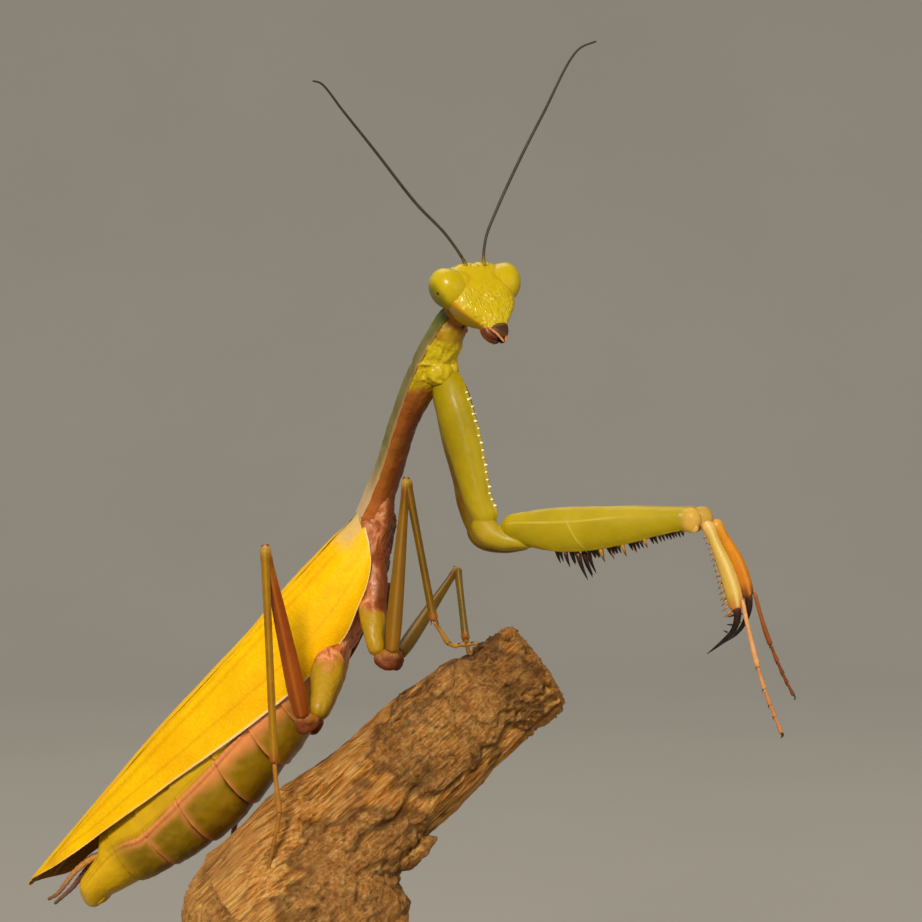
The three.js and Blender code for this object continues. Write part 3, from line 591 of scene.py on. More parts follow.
def light_studio():
    aim = (0.015, 0, 0.06)
    make_lamp("key_light", (-0.1, -0.48, 0.35), aim, 0.12, 3.0, (1.0, 0.95, 0.86))
    make_lamp("fill_light", (0.5, -0.35, 0.22), aim, 0.5, 0.7, (1.0, 0.97, 0.92))
    make_lamp("top_light", (-0.05, 0.25, 0.6), aim, 0.4, 1.1, (1.0, 0.97, 0.93))
    world = bpy.data.worlds.new("studio_air")
    world.use_nodes = True
    world.node_tree.nodes["Background"].inputs["Color"].default_value = (1.0, 0.97, 0.92, 1)
    world.node_tree.nodes["Background"].inputs["Strength"].default_value = 0.27
    bpy.context.scene.world = world
    bpy.context.scene.view_settings.view_transform = "Standard"


# ---------------------------------------------------------------- trunk: thorax and abdomen
# The trunk's own frame: s runs from its front to the tail, then right and back. It slopes down
# away from +X, and the tail swings 18 degrees to +Y.
YAW = math.radians(18)
HEADING = np.array((math.cos(YAW), -math.sin(YAW), 0))
UPRIGHT = np.array((0, 0, 1))
TRUNK_FRONT = np.array((9.4, 0, 66))
TO_TAIL = -0.6906 * HEADING - 0.7232 * UPRIGHT
TO_BACK = -0.7232 * HEADING + 0.6906 * UPRIGHT
TO_RIGHT = np.array((-math.sin(YAW), -math.cos(YAW), 0))
# How far the rings of the trunk lean forward for each millimetre above its middle.
LEAN = 0.32
# Where the abdomen begins and ends along the trunk.
ABDOMEN_FRONT, ABDOMEN_TAIL = 9.2, 52.4

trunk_top = profile((-3, 3.6), (-2, 3.35), (-1, 2.9), (1, 2.75), (4, 2.8), (11, 2.95), (17, 2.65),
                    (24, 2.75), (31, 2.9), (38, 2.75), (48, 2.45), (57, 2))
trunk_middle = profile((-3, 2.5), (-1, 1.2), (4, -0.6), (10, -1.7), (20, -2), (30, -2), (38, -1.5),
                       (44, -0.9), (48, -0.9), (52.4, -1), (57, 0.8))
trunk_half = profile((-3, 1.5), (-1, 2.1), (3, 3.1), (8, 3.9), (14, 4.5), (22, 4.9), (30, 4.9), (36, 4.6),
                     (42, 3.9), (47, 3), (50.5, 2.2), (52.4, 1.3), (57, 1))
trunk_bottom = profile((-3, 1.5), (-1, 0.7), (0.45, -0.3), (2, -1.5), (3.65, -2.5), (5, -3.2),
                       (8.5, -4.0), (12, -4.7), (14, -5.4), (17, -6.5), (20.5, -7.3), (25, -7.6),
                       (28, -7.85), (31.5, -7.85), (34.8, -7.4), (37.7, -6.8), (40.8, -5.9),
                       (43.3, -5.1), (45.7, -4.2), (48.6, -3.3), (49.9, -3.0), (52.4, -2.9))
# Height at which the back plates of the abdomen end and the belly plates begin.
side_fold = profile((8, -2.2), (20, -2.7), (29.5, -2.75), (35.8, -2.45), (40.7, -2), (43.4, -0.9),
                    (45.9, -0.45), (52, -0.4))


def on_trunk(s, right, back):
    """Where a point of the trunk's own frame lies in the part's frame."""
    s, right, back = (axis[..., None] for axis in np.broadcast_arrays(s, right, back))
    return TRUNK_FRONT + s * TO_TAIL + right * TO_RIGHT + back * TO_BACK


def trunk_skin(s, angle, lift):
    """A point lift mm outside the trunk; angle 0 is the back and 90 degrees the right side."""
    middle = trunk_middle(s)
    reach = np.where(np.cos(angle) > 0, trunk_top(s) - middle, middle - trunk_bottom(s))
    return on_trunk(s, (trunk_half(s) + lift) * np.sin(angle), middle + (reach + lift) * np.cos(angle))


def trunk_piece(piece, places, around, size, top, lift, marks):
    """A length of the trunk. places are its rows along s, size shrinks its closed ends."""

    def row(u):
        return np.interp(u, np.linspace(0, 1, len(places)), places)

    def at(u, v):
        s = row(u)
        angle = TURN * v
        middle = trunk_middle(s)
        reach = np.where(np.cos(angle) > 0, top(s) - middle, middle - trunk_bottom(s))
        swell = size(s) * (1 + lift(s, angle, middle + reach * np.cos(angle)) / 4.5)
        back = middle - 0.4 + (reach * np.cos(angle) + 0.4) * swell
        shift = LEAN * (back - middle)
        right = trunk_half(s - shift) * np.sin(angle) * swell
        return on_trunk(s - shift, right, back)

    def masks(u, v, points):
        return marks(row(u), (points - TRUNK_FRONT) @ TO_BACK, points)

    piece.skin(len(places) - 1, around, at, marks=masks)


PLATE_ENDS = np.array((10.2, 14.2, 18.4, 23.0, 28.4, 34.6, 39.9, 44.4))


def make_abdomen():
    """One skin with a ring of back and belly plates for each segment, each over the next."""
    steps = [end + np.array((-0.3, -0.12, -0.05, 0, 0.04, 0.1, 0.2, 0.4)) for end in PLATE_ENDS]
    last = ABDOMEN_TAIL - np.geomspace(0.02, 0.2, 6)
    places = np.sort(np.concatenate([np.linspace(ABDOMEN_FRONT, ABDOMEN_TAIL, 230), *steps, last]))
    top = lambda s: mix(trunk_top(s), mix(0.75, 0.2, (s - 47) / 5.4), ease(45.6, 47.6, s))

    size = lambda s: rounded(s, 0.8, 1.5, ABDOMEN_FRONT, ABDOMEN_TAIL)

    def plate(s):
        """How far along its own segment a place is, from 0 to 1, and that segment's number."""
        i = np.clip(np.searchsorted(PLATE_ENDS, s, side="right") - 1, 0, len(PLATE_ENDS) - 1)
        end = np.append(PLATE_ENDS, ABDOMEN_TAIL)[i + 1]
        return (s - PLATE_ENDS[i]) / (end - PLATE_ENDS[i]), i

    def lift(s, angle, back):
        x, i = plate(s)
        fold = back - side_fold(s)
        below = ease(0.1, -0.2, fold)
        belly = ease(-1.0, -4.5, fold)
        rear = ease(0.0, 0.3, x) * (0.12 + 0.14 * x)
        rear = rear - mix(0.12, 0.5, belly) * (1 - ease(0, 0.05, x)) * (i < 7)
        groove = (-0.26 * hill(fold, 0.05, 0.13) + 0.12 * hill(fold, -0.3, 0.16)
                  - 0.12 * hill(fold, -0.62, 0.09))
        p = stack(s * 0.9, angle * 3.2, back)
        waves = 0.05 * rough(p, 3, 5) + 0.03 * creases(p * (2.6, 1.2, 1.2), 2, 9) * below
        pleats = 0.04 * np.sin(s * 9 + 2 * grain(p * 0.7, 3)) * hill(fold, -0.3, 0.35)
        return rear * mix(0.7, 1, below) + groove + waves + pleats

    def marks(s, back, points):
        x, i = plate(s)
        drift = 0.5 * rough(points * 0.35, 3, 3)
        fold = back - side_fold(s)
        above = ease(-0.05, 0.12, fold)
        deep = mix(2.9, 1.5, ease(20, 38, s))
        pink = (1 - above) * ease(-deep - drift, -0.3 * deep, fold) * (1 - 0.85 * ease(41, 45, s))
        pink = np.maximum(pink, (1 - above) * 0.7 * hill(x, 1, 0.09) * (i < 6))
        pink = np.maximum(pink, (1 - above) * 0.65 * hill(x, 0.02, 0.1) * (i > 4) * (i < 7))
        belly = ease(-0.5, -3.5, fold)
        # Painted shade: a dark line in the recess under each overlapping plate edge, and in the grooves along
        # the side fold.
        seam_shade = hill(x, 0.012, mix(0.02, 0.05, belly)) * (i > 2) * (i < 6)
        seam_shade = seam_shade * (1 - above) * mix(0.35, 1, belly)
        seam_shade = np.maximum(seam_shade, 0.8 * hill(fold, 0.06, 0.09))
        seam_shade = np.maximum(seam_shade, 0.35 * hill(fold, -0.62, 0.07))
        seam_shade = np.maximum(seam_shade, above * 0.6 * hill(x, 0.0, 0.03))
        yellow = np.maximum(above * (0.8 + 0.3 * drift), ease(42.5 + drift, 46.5, s))
        # The last mask is painted shade, darker towards the bottom of the belly.
        return pink, seam_shade, np.clip(yellow, 0, 1), ease(-5.6, -7.6, back - 0.4 * drift) * 0.45

    piece = Piece()
    trunk_piece(piece, places, 168, size, top, lift, marks)
    # The last belly plate ends in a keeled lobe of two soft valves.
    for side in (1, -1):
        lobe = [on_trunk(s, side * right, back)
                for s, right, back in ((48.6, 0.3, -1.0), (50.2, 0.45, -1.8), (52.0, 0.25, -2.75))]
        piece.limb(lobe, TO_RIGHT, ((0, 1.6), (0.45, 1.5), (0.8, 0.9), (1, 0.35)),
                   ((0, 0.9), (0.5, 0.85), (1, 0.3)), 40, 36, 0.3, 0.2,
                   marks=lambda u, v, p: (0, 0.25 * hill(u, 0.3, 0.1), 1, 0))
    # Tints: pink skin between the plates, painted shade in the plate seams and side grooves, yellow back
    # plates, and painted shade under the belly.
    skin = cuticle("belly_skin", (150, 118, 10), (118, 90, 2), tints=((228, 142, 78),
                   (46, 20, 8), (230, 180, 14), (116, 82, 4)), patch=330, amount=0.55,
                   gloss=(0.36, 0.52), coat=0.1, depth=0.000012,
                   streak=((186, 140, 30), 0.25, (240, 240, 500)))
    nodes = [f"abdomen_{i}" for i in range(1, 8)] + ["abdomen_tip"]
    piece.finish("abdomen_skin", "abdomen", nodes, skin)


# Hips of the walking legs: places down their middles, and half widths across and deep.
HIPS = {
    "mid_right": (((7.8, -0.8, 63.0), (7.8, -2.2, 60.4), (7.9, -3.4, 58.5), (8.1, -4.3, 56.3),
                   (8.5, -4.7, 54.9)),
                  ((0, 1.1), (0.3, 1.45), (0.5, 1.4), (0.8, 0.98), (1, 0.8)), 1.1),
    "mid_left": (((8.9, 1.4, 62.0), (9.1, 2.6, 59.8), (9.3, 3.7, 57.4), (9.5, 4.4, 55.2), (9.6, 4.5, 54.0)),
                 ((0, 1.0), (0.3, 1.3), (0.6, 1.1), (1, 0.85)), 1.1),
    "hind_right": (((4.4, -0.2, 57.4), (3.7, -1.3, 55.4), (3.1, -3.0, 53.2), (2.6, -5.1, 50.5),
                    (2.0, -6.3, 48.7)),
                   ((0, 1.0), (0.25, 1.4), (0.5, 1.66), (0.78, 1.15), (1, 0.85)), 1.3),
    "hind_left": (((4.4, 2.2, 56.6), (3.8, 3.4, 54.4), (3.0, 4.8, 51.6), (2.2, 5.9, 48.8), (1.6, 6.3, 47.2)),
                  ((0, 1.0), (0.25, 1.4), (0.5, 1.5), (0.8, 1.1), (1, 0.85)), 1.3),
}


def make_thorax():
    """The soft middle body and the four hips that hang from it, in one wrinkled skin."""
    front, rear = -3.0, 10.6
    places = np.concatenate([front + np.geomspace(0.0005, 0.2, 10), np.linspace(-2.7, rear, 140)])
    size = lambda s: rounded(s, 1.2, 0.5, front, rear)
    smooth = lambda s, angle, back: 0 * s
    below = lambda s, back, points: (0, 0, 0, ease(0.2, -1.2, back - trunk_middle(s) - 0.1 * s))
    piece = Piece()
    trunk_piece(piece, places, 170, size, trunk_top, smooth, below)
    # The breast below the front body, and the fold of skin beside it.
    breast = ((9.9, -2.9, 74.2), (9.4, -2.3, 72.6), (9.0, -1.7, 70.9), (8.75, -1.3, 68.5), (8.4, -1.0, 66.7),
              (8.4, -0.8, 65.3), (8.1, -0.5, 63.2), (7.9, -0.3, 61.1), (7.4, 0.2, 58.4))
    piece.limb(breast, (0, 1, 0), ((0, 0.6), (0.15, 1.0), (0.35, 1.1), (0.6, 0.98), (1, 1.3)),
               ((0, 0.6), (0.14, 1.0), (0.3, 1.3), (0.5, 1.5), (1, 1.9)), 130, 60, 0.1, 0.12,
               marks=lambda u, v, p: (0, 0, 0, 0.8))
    fold = ((8.5, -0.8, 71.6), (8.0, -1.2, 69.8), (7.8, -1.5, 67.0), (7.6, -1.6, 64.6), (7.3, -1.5, 62.0))
    piece.limb(fold, (0, 1, 0), ((0, 1.2), (0.3, 1.5), (1, 1.2)), ((0, 0.9), (0.4, 1.0), (1, 0.8)),
               70, 50, 0.2, 0.2)
    skirt = ((8.0, -1.3, 65.4), (8.1, -2.0, 62.0), (8.0, -2.8, 59.6))
    piece.limb(skirt, (0, 1, 0), ((0, 0.9), (0.5, 1.25), (1, 1.2)), ((0, 0.9), (1, 1.1)), 60, 50, 0.25, 0.25)
    # Soft skin closes the space under the roots of the wings.
    for s, back, along, high in ((-1.6, 2.6, 1.2, 1.55), (0.9, 2.8, 2.2, 1.65)):
        mound = [on_trunk(s, right, back) for right in (-2.2, 0.0, 2.2)]
        piece.limb(mound, TO_BACK, ((0, 0.8 * along), (0.5, along), (1, 0.8 * along)),
                   ((0, 0.7 * high), (0.5, high), (1, 0.7 * high)), 60, 60, 0.35, 0.35)
    for points, across, deep in HIPS.values():
        deepness = ((0, 0.8 * deep), (0.4, deep), (1, 0.75 * deep))
        piece.limb(points, (0, 1, 0), across, deepness, 80, 50, 0.12, 0.1,
                   marks=lambda u, v, p: (0, 0, ease(0.12, 0.4, u), 0.55 * ease(0.85, 1, u)))
    piece.fuse(0.095, 6)

    def wrinkles(p):
        wander = rough(p * 0.5, 2, 4)[:, None]
        return creases((p + 0.8 * wander) * (1.3, 0.9, 0.6), 3, 12)

    def ripple(points, old):
        soft = 0.16 * (wrinkles(points) - 0.55) * (1 - 0.75 * old[:, 2])
        knobs = sum(hill(far_from(centre, points), 0, 0.4)
                    for centre in ((9.2, -1.2, 65.6), (9.0, -0.8, 61.9)))
        return soft * ease(73, 68, points[:, 2]) + 0.04 * rough(points * 1.1, 3, 8) + 0.2 * knobs

    def masks(points, old):
        ridge = wrinkles(points)
        x, z = points[:, 0], points[:, 2] + 1.2 * rough(points * 0.6, 3, 15)
        # The hips turn green only below their soft pink tops.
        hips = old[:, 2] * np.where(x > 5.6, ease(60.4, 58.2, z), ease(55.6, 53.2, z))
        # Painted shade in the valleys of the wrinkles.
        dark = ease(0.42, 0.12, ridge) * (1 - 0.85 * hips)
        # Painted highlight on the crests of the wrinkles.
        pale = ease(0.75, 1.2, ridge) * (1 - hips)
        right = ease(8.0, 9.1, x - 0.12 * (z - 66)) * ease(58, 61, z) * (1 - hips)
        return stack(dark * 0.6, pale * 0.6, hips, np.maximum(old[:, 3] * 0.35, 0.95 * right))

    piece.crease(ripple, masks)
    # The first two tints are painted shade in the wrinkle valleys and a painted pink highlight on their
    # crests.
    skin = cuticle("thorax_folds", (202, 114, 62), (182, 92, 42), tints=((122, 54, 20),
                   (238, 170, 118), (176, 136, 12), (112, 52, 10)), patch=420, amount=0.6,
                   gloss=(0.36, 0.52), coat=0.08, depth=0.000015)
    hips = ["mid_coxa_right", "mid_coxa_left", "hind_coxa_right", "hind_coxa_left"]
    piece.finish("thorax_and_hips", "thorax_skin", ["thorax", *hips], skin)


# ---------------------------------------------------------------- wings
# The height of a forewing's outer edge, and the angle of its inner one, at places along the trunk.
costal_edge = profile((-0.7, 2.9), (0.4, 1.1), (1.63, -0.5), (3.7, -1.9), (6.2, -2.9), (9, -3.8),
                      (12, -4.15), (14.4, -4.15), (17.2, -4), (20.4, -3.6), (24.4, -2.95),
                      (28.7, -2.1), (33, -1.15), (36.6, -0.45), (40, 0.3), (43.7, 1.1),
                      (48.5, 2.15), (51.3, 3.0), (54.1, 4.0), (56.1, 4.5))
wing_inner = profile((-0.6, -0.14), (4, -0.4), (12, -0.5), (40, -0.5), (50, -0.45), (54, -0.35),
                     (56.1, -0.1))
# Where the forewings end along the trunk.
TEGMEN_TIP = 56.1
# Millimetres across a forewing for each radian round the body.
WING_REACH = 4.8
# Angles round the body, at places along it, where the long veins of a forewing run.
VEINS = (
    (profile((0, 1.5), (4, 1.52), (12, 1.5), (24, 1.28), (36, 1.05), (48, 0.72), (56, 0.3)), 0.1, 0.05),
    (profile((0, 1.05), (3, 0.82), (11, 0.78), (26, 0.76), (41, 0.68), (50, 0.52), (56, 0.25)), 0.17, 0.1),
    (profile((0, 0.9), (3, 0.66), (11, 0.63), (26, 0.58), (41, 0.5), (50, 0.4), (56, 0.2)), 0.1, -0.06),
    (profile((0, 0.7), (3, 0.48), (11, 0.46), (26, 0.4), (41, 0.3), (50, 0.24), (56, 0.15)), 0.14, 0.09),
    (profile((0, 0.4), (5, 0.22), (11, 0.2), (26, 0.18), (41, 0.12), (50, 0.1), (56, 0.1)), 0.1, 0.06),
    (profile((0, 0.2), (5, 0), (11, -0.06), (26, -0.1), (41, -0.12), (50, -0.1), (56, 0.08)), 0.1, 0.05),
)


def angle_at(s, back, lift):
    """The angle round the trunk of a point lift mm outside it at the height back."""
    middle = trunk_middle(s)
    reach = np.where(back > middle, trunk_top(s) - middle, middle - trunk_bottom(s)) + lift
    return np.arccos(np.clip((back - middle) / reach, -0.999, 0.999))


def vein_lines(s, angle, ridge=True):
    """The relief of the long veins, or their colour where ridge is false."""
    total = 0
    for line, wide, high in VEINS:
        total = total + hill((angle - line(s)) * 4.6, 0, wide) * (high if ridge else 1)
    return total


def make_tegmen(side, name):
    """A leathery forewing; side is 1 on the right, and -1 on the left, which lies on top."""

    def height(s, angle):
        under = mix(0.93, 0.26, ease(0.95, 1.45, angle) * ease(44, 34, s))
        over = 0.8 * (1 - ease(0.5, 0.95, angle) * ease(50, 44, s))
        return under + over + 0.42 + 0.2 * ease(46, 56, s) - 0.12 * ease(3.4, 0.4, s)

    def spot(u, v):
        across, face = wrap(v, 9)
        start = mix(0.9, -0.7, ease(0.0, 0.55, 0.5 + 0.5 * across))
        s = mix(start, TEGMEN_TIP, 0.6 * u + 0.4 * (0.5 - 0.5 * np.cos(math.pi * u)))
        edge = costal_edge(s)
        if side < 0:
            edge = edge + 1.3 * ease(14, 5, s) * ease(-0.7, 2, s) - 1.0 * hill(s, 53, 2.2)
        outer = angle_at(s, edge, 1.0)
        for _ in range(3):
            outer = angle_at(s, edge, height(s, outer))
        inner = wing_inner(s)
        return s, across, face, inner, np.maximum(inner + 0.2, outer)

    def at(u, v):
        s, across, face, inner, outer = spot(u, v)
        angle = mix(inner, outer, 0.5 + 0.5 * across)
        rim = (outer - angle) * WING_REACH
        bead = 0.06 * hill(rim, 0.1, 0.1) * ease(0.2, 2.0, s) * ease(52, 44, s)
        wavy = 0.05 * rough(stack(s * 0.25, angle * 2.2, 0), 2, 31)
        sway = grain(stack(s * 0.3, angle * 2, 0), 8)
        fan = np.sin((s * 1.15 - angle * 5.0 + 0.8 * sway) * 4.2)
        field = ease(0.95, 1.15, angle) * ease(0.2, 0.9, rim) * ease(1, 5, s) * ease(46, 30, s)
        relief = 0.6 * vein_lines(s, angle) * ease(0.5, 3.5, s) + bead + wavy + 0.005 * fan * field
        thick = 0.14 * ease(0.0, 0.35, 1 - np.abs(across) + 0.06)
        # The left wing rests on the right one.
        rest = (thick + 0.03) * (side < 0)
        return trunk_skin(s, side * angle, height(s, angle) + rest + relief - thick * (1 - face) / 2)

    def marks(u, v, points):
        s, across, face, inner, outer = spot(u, v)
        angle = mix(inner, outer, 0.5 + 0.5 * across)
        rim = (outer - angle) * WING_REACH
        white = hill(rim, 0.04, 0.11) * ease(0.0, 1.5, s) * mix(0.3, 1, ease(40, 22, s))
        white = np.maximum(white, 0.7 * hill(rim, 0.1, 0.3) * hill(s, 0.2, 0.9))
        grey = ease(3.4, 1.4, s + 0.6 * rough(points * 0.9, 2, 6)) * ease(1.15, 0.7, angle)
        veins = np.clip(vein_lines(s, angle, False), 0, 1) * ease(1, 5, s)
        # Painted shade: the underside of the wing is darker.
        below = ease(0.3, -0.3, face)
        return white, grey * 0.85, veins * 0.45, below

    piece = Piece()
    piece.skin(300, 170, at, 0, marks)
    # The last tint is painted shade on the wing's underside.
    gold = cuticle(f"wing_gold_{name}", (255, 200, 0), (246, 178, 0), tints=((244, 228, 190),
                   (206, 176, 116), (208, 140, 0), (132, 84, 14)), patch=150, amount=0.75,
                   pits=5200, swell=0.9, depth=0.00002, gloss=(0.44, 0.58), shine=0.1, coat=0.02)
    weave_wing(gold)
    piece.finish(f"forewing_{name}", "tegmen", [f"tegmen_{name}"], gold)


def weave_wing(material):
    """Adds the fine net of cross veins between the long ones to a wing's bump and colour."""
    nodes = Nodes(material.node_tree)
    shader = material.node_tree.nodes["Principled BSDF"].inputs
    cells = nodes.stretch(nodes.chart(), 150, 34, 1)
    net = nodes.between(nodes.cells(cells, 1.0, "DISTANCE_TO_EDGE"), 0.02, 0.14)
    old = shader["Base Color"].links[0].from_socket
    dark = nodes.mix(0.16, old, (196, 130, 0))
    nodes.set(shader["Base Color"], nodes.mix(net, dark, old))
    bump = nodes.add("Bump", {"Height": net, "Distance": 0.00002, "Strength": 0.4,
                              "Normal": shader["Normal"].links[0].from_socket}, invert=True)
    nodes.set(shader["Normal"], bump)


def make_hind_wing(side, name):
    """A folded, pleated hind wing between the forewing and the body."""

    def at(u, v):
        across, face = wrap(v, 6)
        s = mix(2.5, 53.0, u)
        high = mix(0.09, 0.12, u)
        edge = np.minimum(0.85, angle_at(s, costal_edge(s) + 1.2, 0.7))
        low = np.maximum(high + mix(0.3, 0.18, u), edge)
        angle = mix(high, low, 0.5 + 0.5 * across)
        pleat = 0.07 * np.sin(across * 24)
        return trunk_skin(s, side * angle, 0.42 + pleat + 0.1 * face + 0.5 * ease(44, 52, s))

    piece = Piece()
    piece.skin(120, 150, at)
    film = cuticle(f"hind_wing_{name}", (150, 100, 26), (118, 74, 14), length=(
                   (0, (170, 120, 40)), (0.8, (150, 100, 26)), (1, (128, 84, 20))),
                   patch=400, gloss=(0.34, 0.48), streak=((90, 56, 14), 0.5, (900, 900, 300)))
    piece.finish(f"hindwing_{name}_folds", "hind_wing", [f"hindwing_{name}"], film)


def make_cercus(side, name):
    """A jointed tail feeler with fine hairs."""
    if side > 0:
        places = ((45.6, 0.9, -0.3), (46.7, 1.3, 0.1), (47.5, 1.6, 0.65), (48.8, 1.75, 0.95),
                  (50.4, 1.8, 1.1), (52.1, 1.8, 0.95), (53.6, 1.7, 0.9), (55.0, 1.6, 1.3))
    else:
        places = ((46.2, -0.9, 0.0), (47.4, -1.3, 0.5), (48.6, -1.5, 0.9), (50.2, -1.3, 1.0),
                  (51.8, -1.0, 0.85), (53.2, -1.1, 0.8), (54.7, -1.2, 0.95), (56.2, -1.3, 1.1))
    path = Path([on_trunk(*place) for place in places])
    joints = 14
    beads = lambda t, angle: 0.05 * np.sin(math.pi * saw(t * joints)) ** 0.6
    piece = Piece()
    taper = profile((0, 0.3), (0.25, 0.34), (0.5, 0.28), (0.8, 0.2), (1, 0.13))
    piece.limb(path, TO_RIGHT, taper, taper, 170, 20, 0.04, 0.03, beads)
    piece.hairs(path, TO_RIGHT, 52, 0.12, 0.86, 0.2, 0.36, 0.014)
    # Painted shade: the left feeler, on the far side, takes darker copies of the same colours.
    shade = 1.0 if side > 0 else 0.7
    tan = cuticle(f"tail_feeler_{name}", (206 * shade, 140 * shade, 70), (160, 100, 44), length=(
                  (0, (196 * shade, 140 * shade, 40)), (0.4, (210 * shade, 148 * shade, 78)),
                  (0.8, (160 * shade, 110 * shade, 80)), (1, (90, 66, 54))), patch=900)
    piece.finish(f"tail_feeler_{name}", "cercus", [f"cercus_{name}"], tan)


# ---------------------------------------------------------------- prothorax and its plate
PROTHORAX = Path(((7.3, 0, 68.3), (9.5, -2.6, 73.9), (11.1, -5, 78.8), (12.4, -6.5, 81.8),
                  (15.2, -9.4, 87), (16.7, -11.2, 90.1)))
PRO_BACK = (-0.917, 0.062, 0.394)
# How thick the back plate is, in millimetres.
PLATE = 0.55
pro_depth = profile((0, 3.3), (0.12, 3.05), (0.3, 2.8), (0.5, 2.85), (0.62, 3.3), (0.76, 3.8),
                    (0.9, 3.5), (1, 2.9))
plate_half = profile((0, 1.95), (0.12, 1.75), (0.35, 1.55), (0.52, 1.65), (0.64, 2.05), (0.73, 2.35),
                     (0.84, 2.1), (0.94, 1.75), (1, 1.2))


def make_pronotum():
    """The long back plate: a keel down the middle, a cross furrow and toothed margins."""

    def at(u, v):
        across, face = wrap(v, 5)
        t = mix(0.012, 0.988, u)
        _, side, above = PROTHORAX.frame(t, PRO_BACK)
        reach = np.abs(across)
        # The ends curve in to a rounded collar and a blunt tail.
        close = rounded(u, 0.03, 0.05)
        teeth = 0.05 * saw(t * 52) ** 2 * ease(0.9, 1, reach) * ease(0.05, 0.2, t)
        half = plate_half(t) * mix(0.75, 1, close) + teeth
        keel = 0.16 * hill(reach, 0, 0.1) + 0.05 * hill(reach, 0, 0.03)
        furrow = -0.14 * hill(t, 0.715 - 0.035 * reach**2, 0.012) * ease(1, 0.8, reach)
        dent = -0.06 * hill(t, 0.78, 0.05) * hill(reach, 0.4, 0.2)
        skin = 0.03 * rough(stack(t * 30, across * 5, 0), 3, 21)
        roof = 0.85 * reach**1.8 - keel - furrow - dent - skin
        sink = PLATE * 0.4 * (1 - face) * np.minimum(1, 0.1 + 3 * (1 - reach))
        height = pro_depth(t) / 2 - roof - sink - 0.35 * (1 - close)
        return PROTHORAX.at(t) - side * (across * half)[:, None] + above * height[:, None]

    def marks(u, v, points):
        across, _ = wrap(v, 5)
        drift = 0.05 * rough(points * 0.8, 2, 2)
        rim = ease(0.72, 0.95, np.abs(across) + drift) * mix(0.55, 1, ease(0.9, 0.2, u))
        head = ease(0.86, 0.97, u + drift)
        keel = 0.5 * hill(np.abs(across), 0, 0.06)
        return rim, head, keel, ease(0.38, 0.04, u + drift)

    piece = Piece()
    piece.skin(230, 110, at, 0, marks)
    plate = cuticle("back_plate", (122, 116, 62), (100, 92, 42), tints=((176, 124, 76),
                    (84, 88, 26), (146, 130, 74), (204, 170, 124)), patch=420, amount=0.7,
                    gloss=(0.36, 0.52), coat=0.08, depth=0.000014)
    piece.finish("pronotum_plate", "pronotum_plate", ["pronotum"], plate)


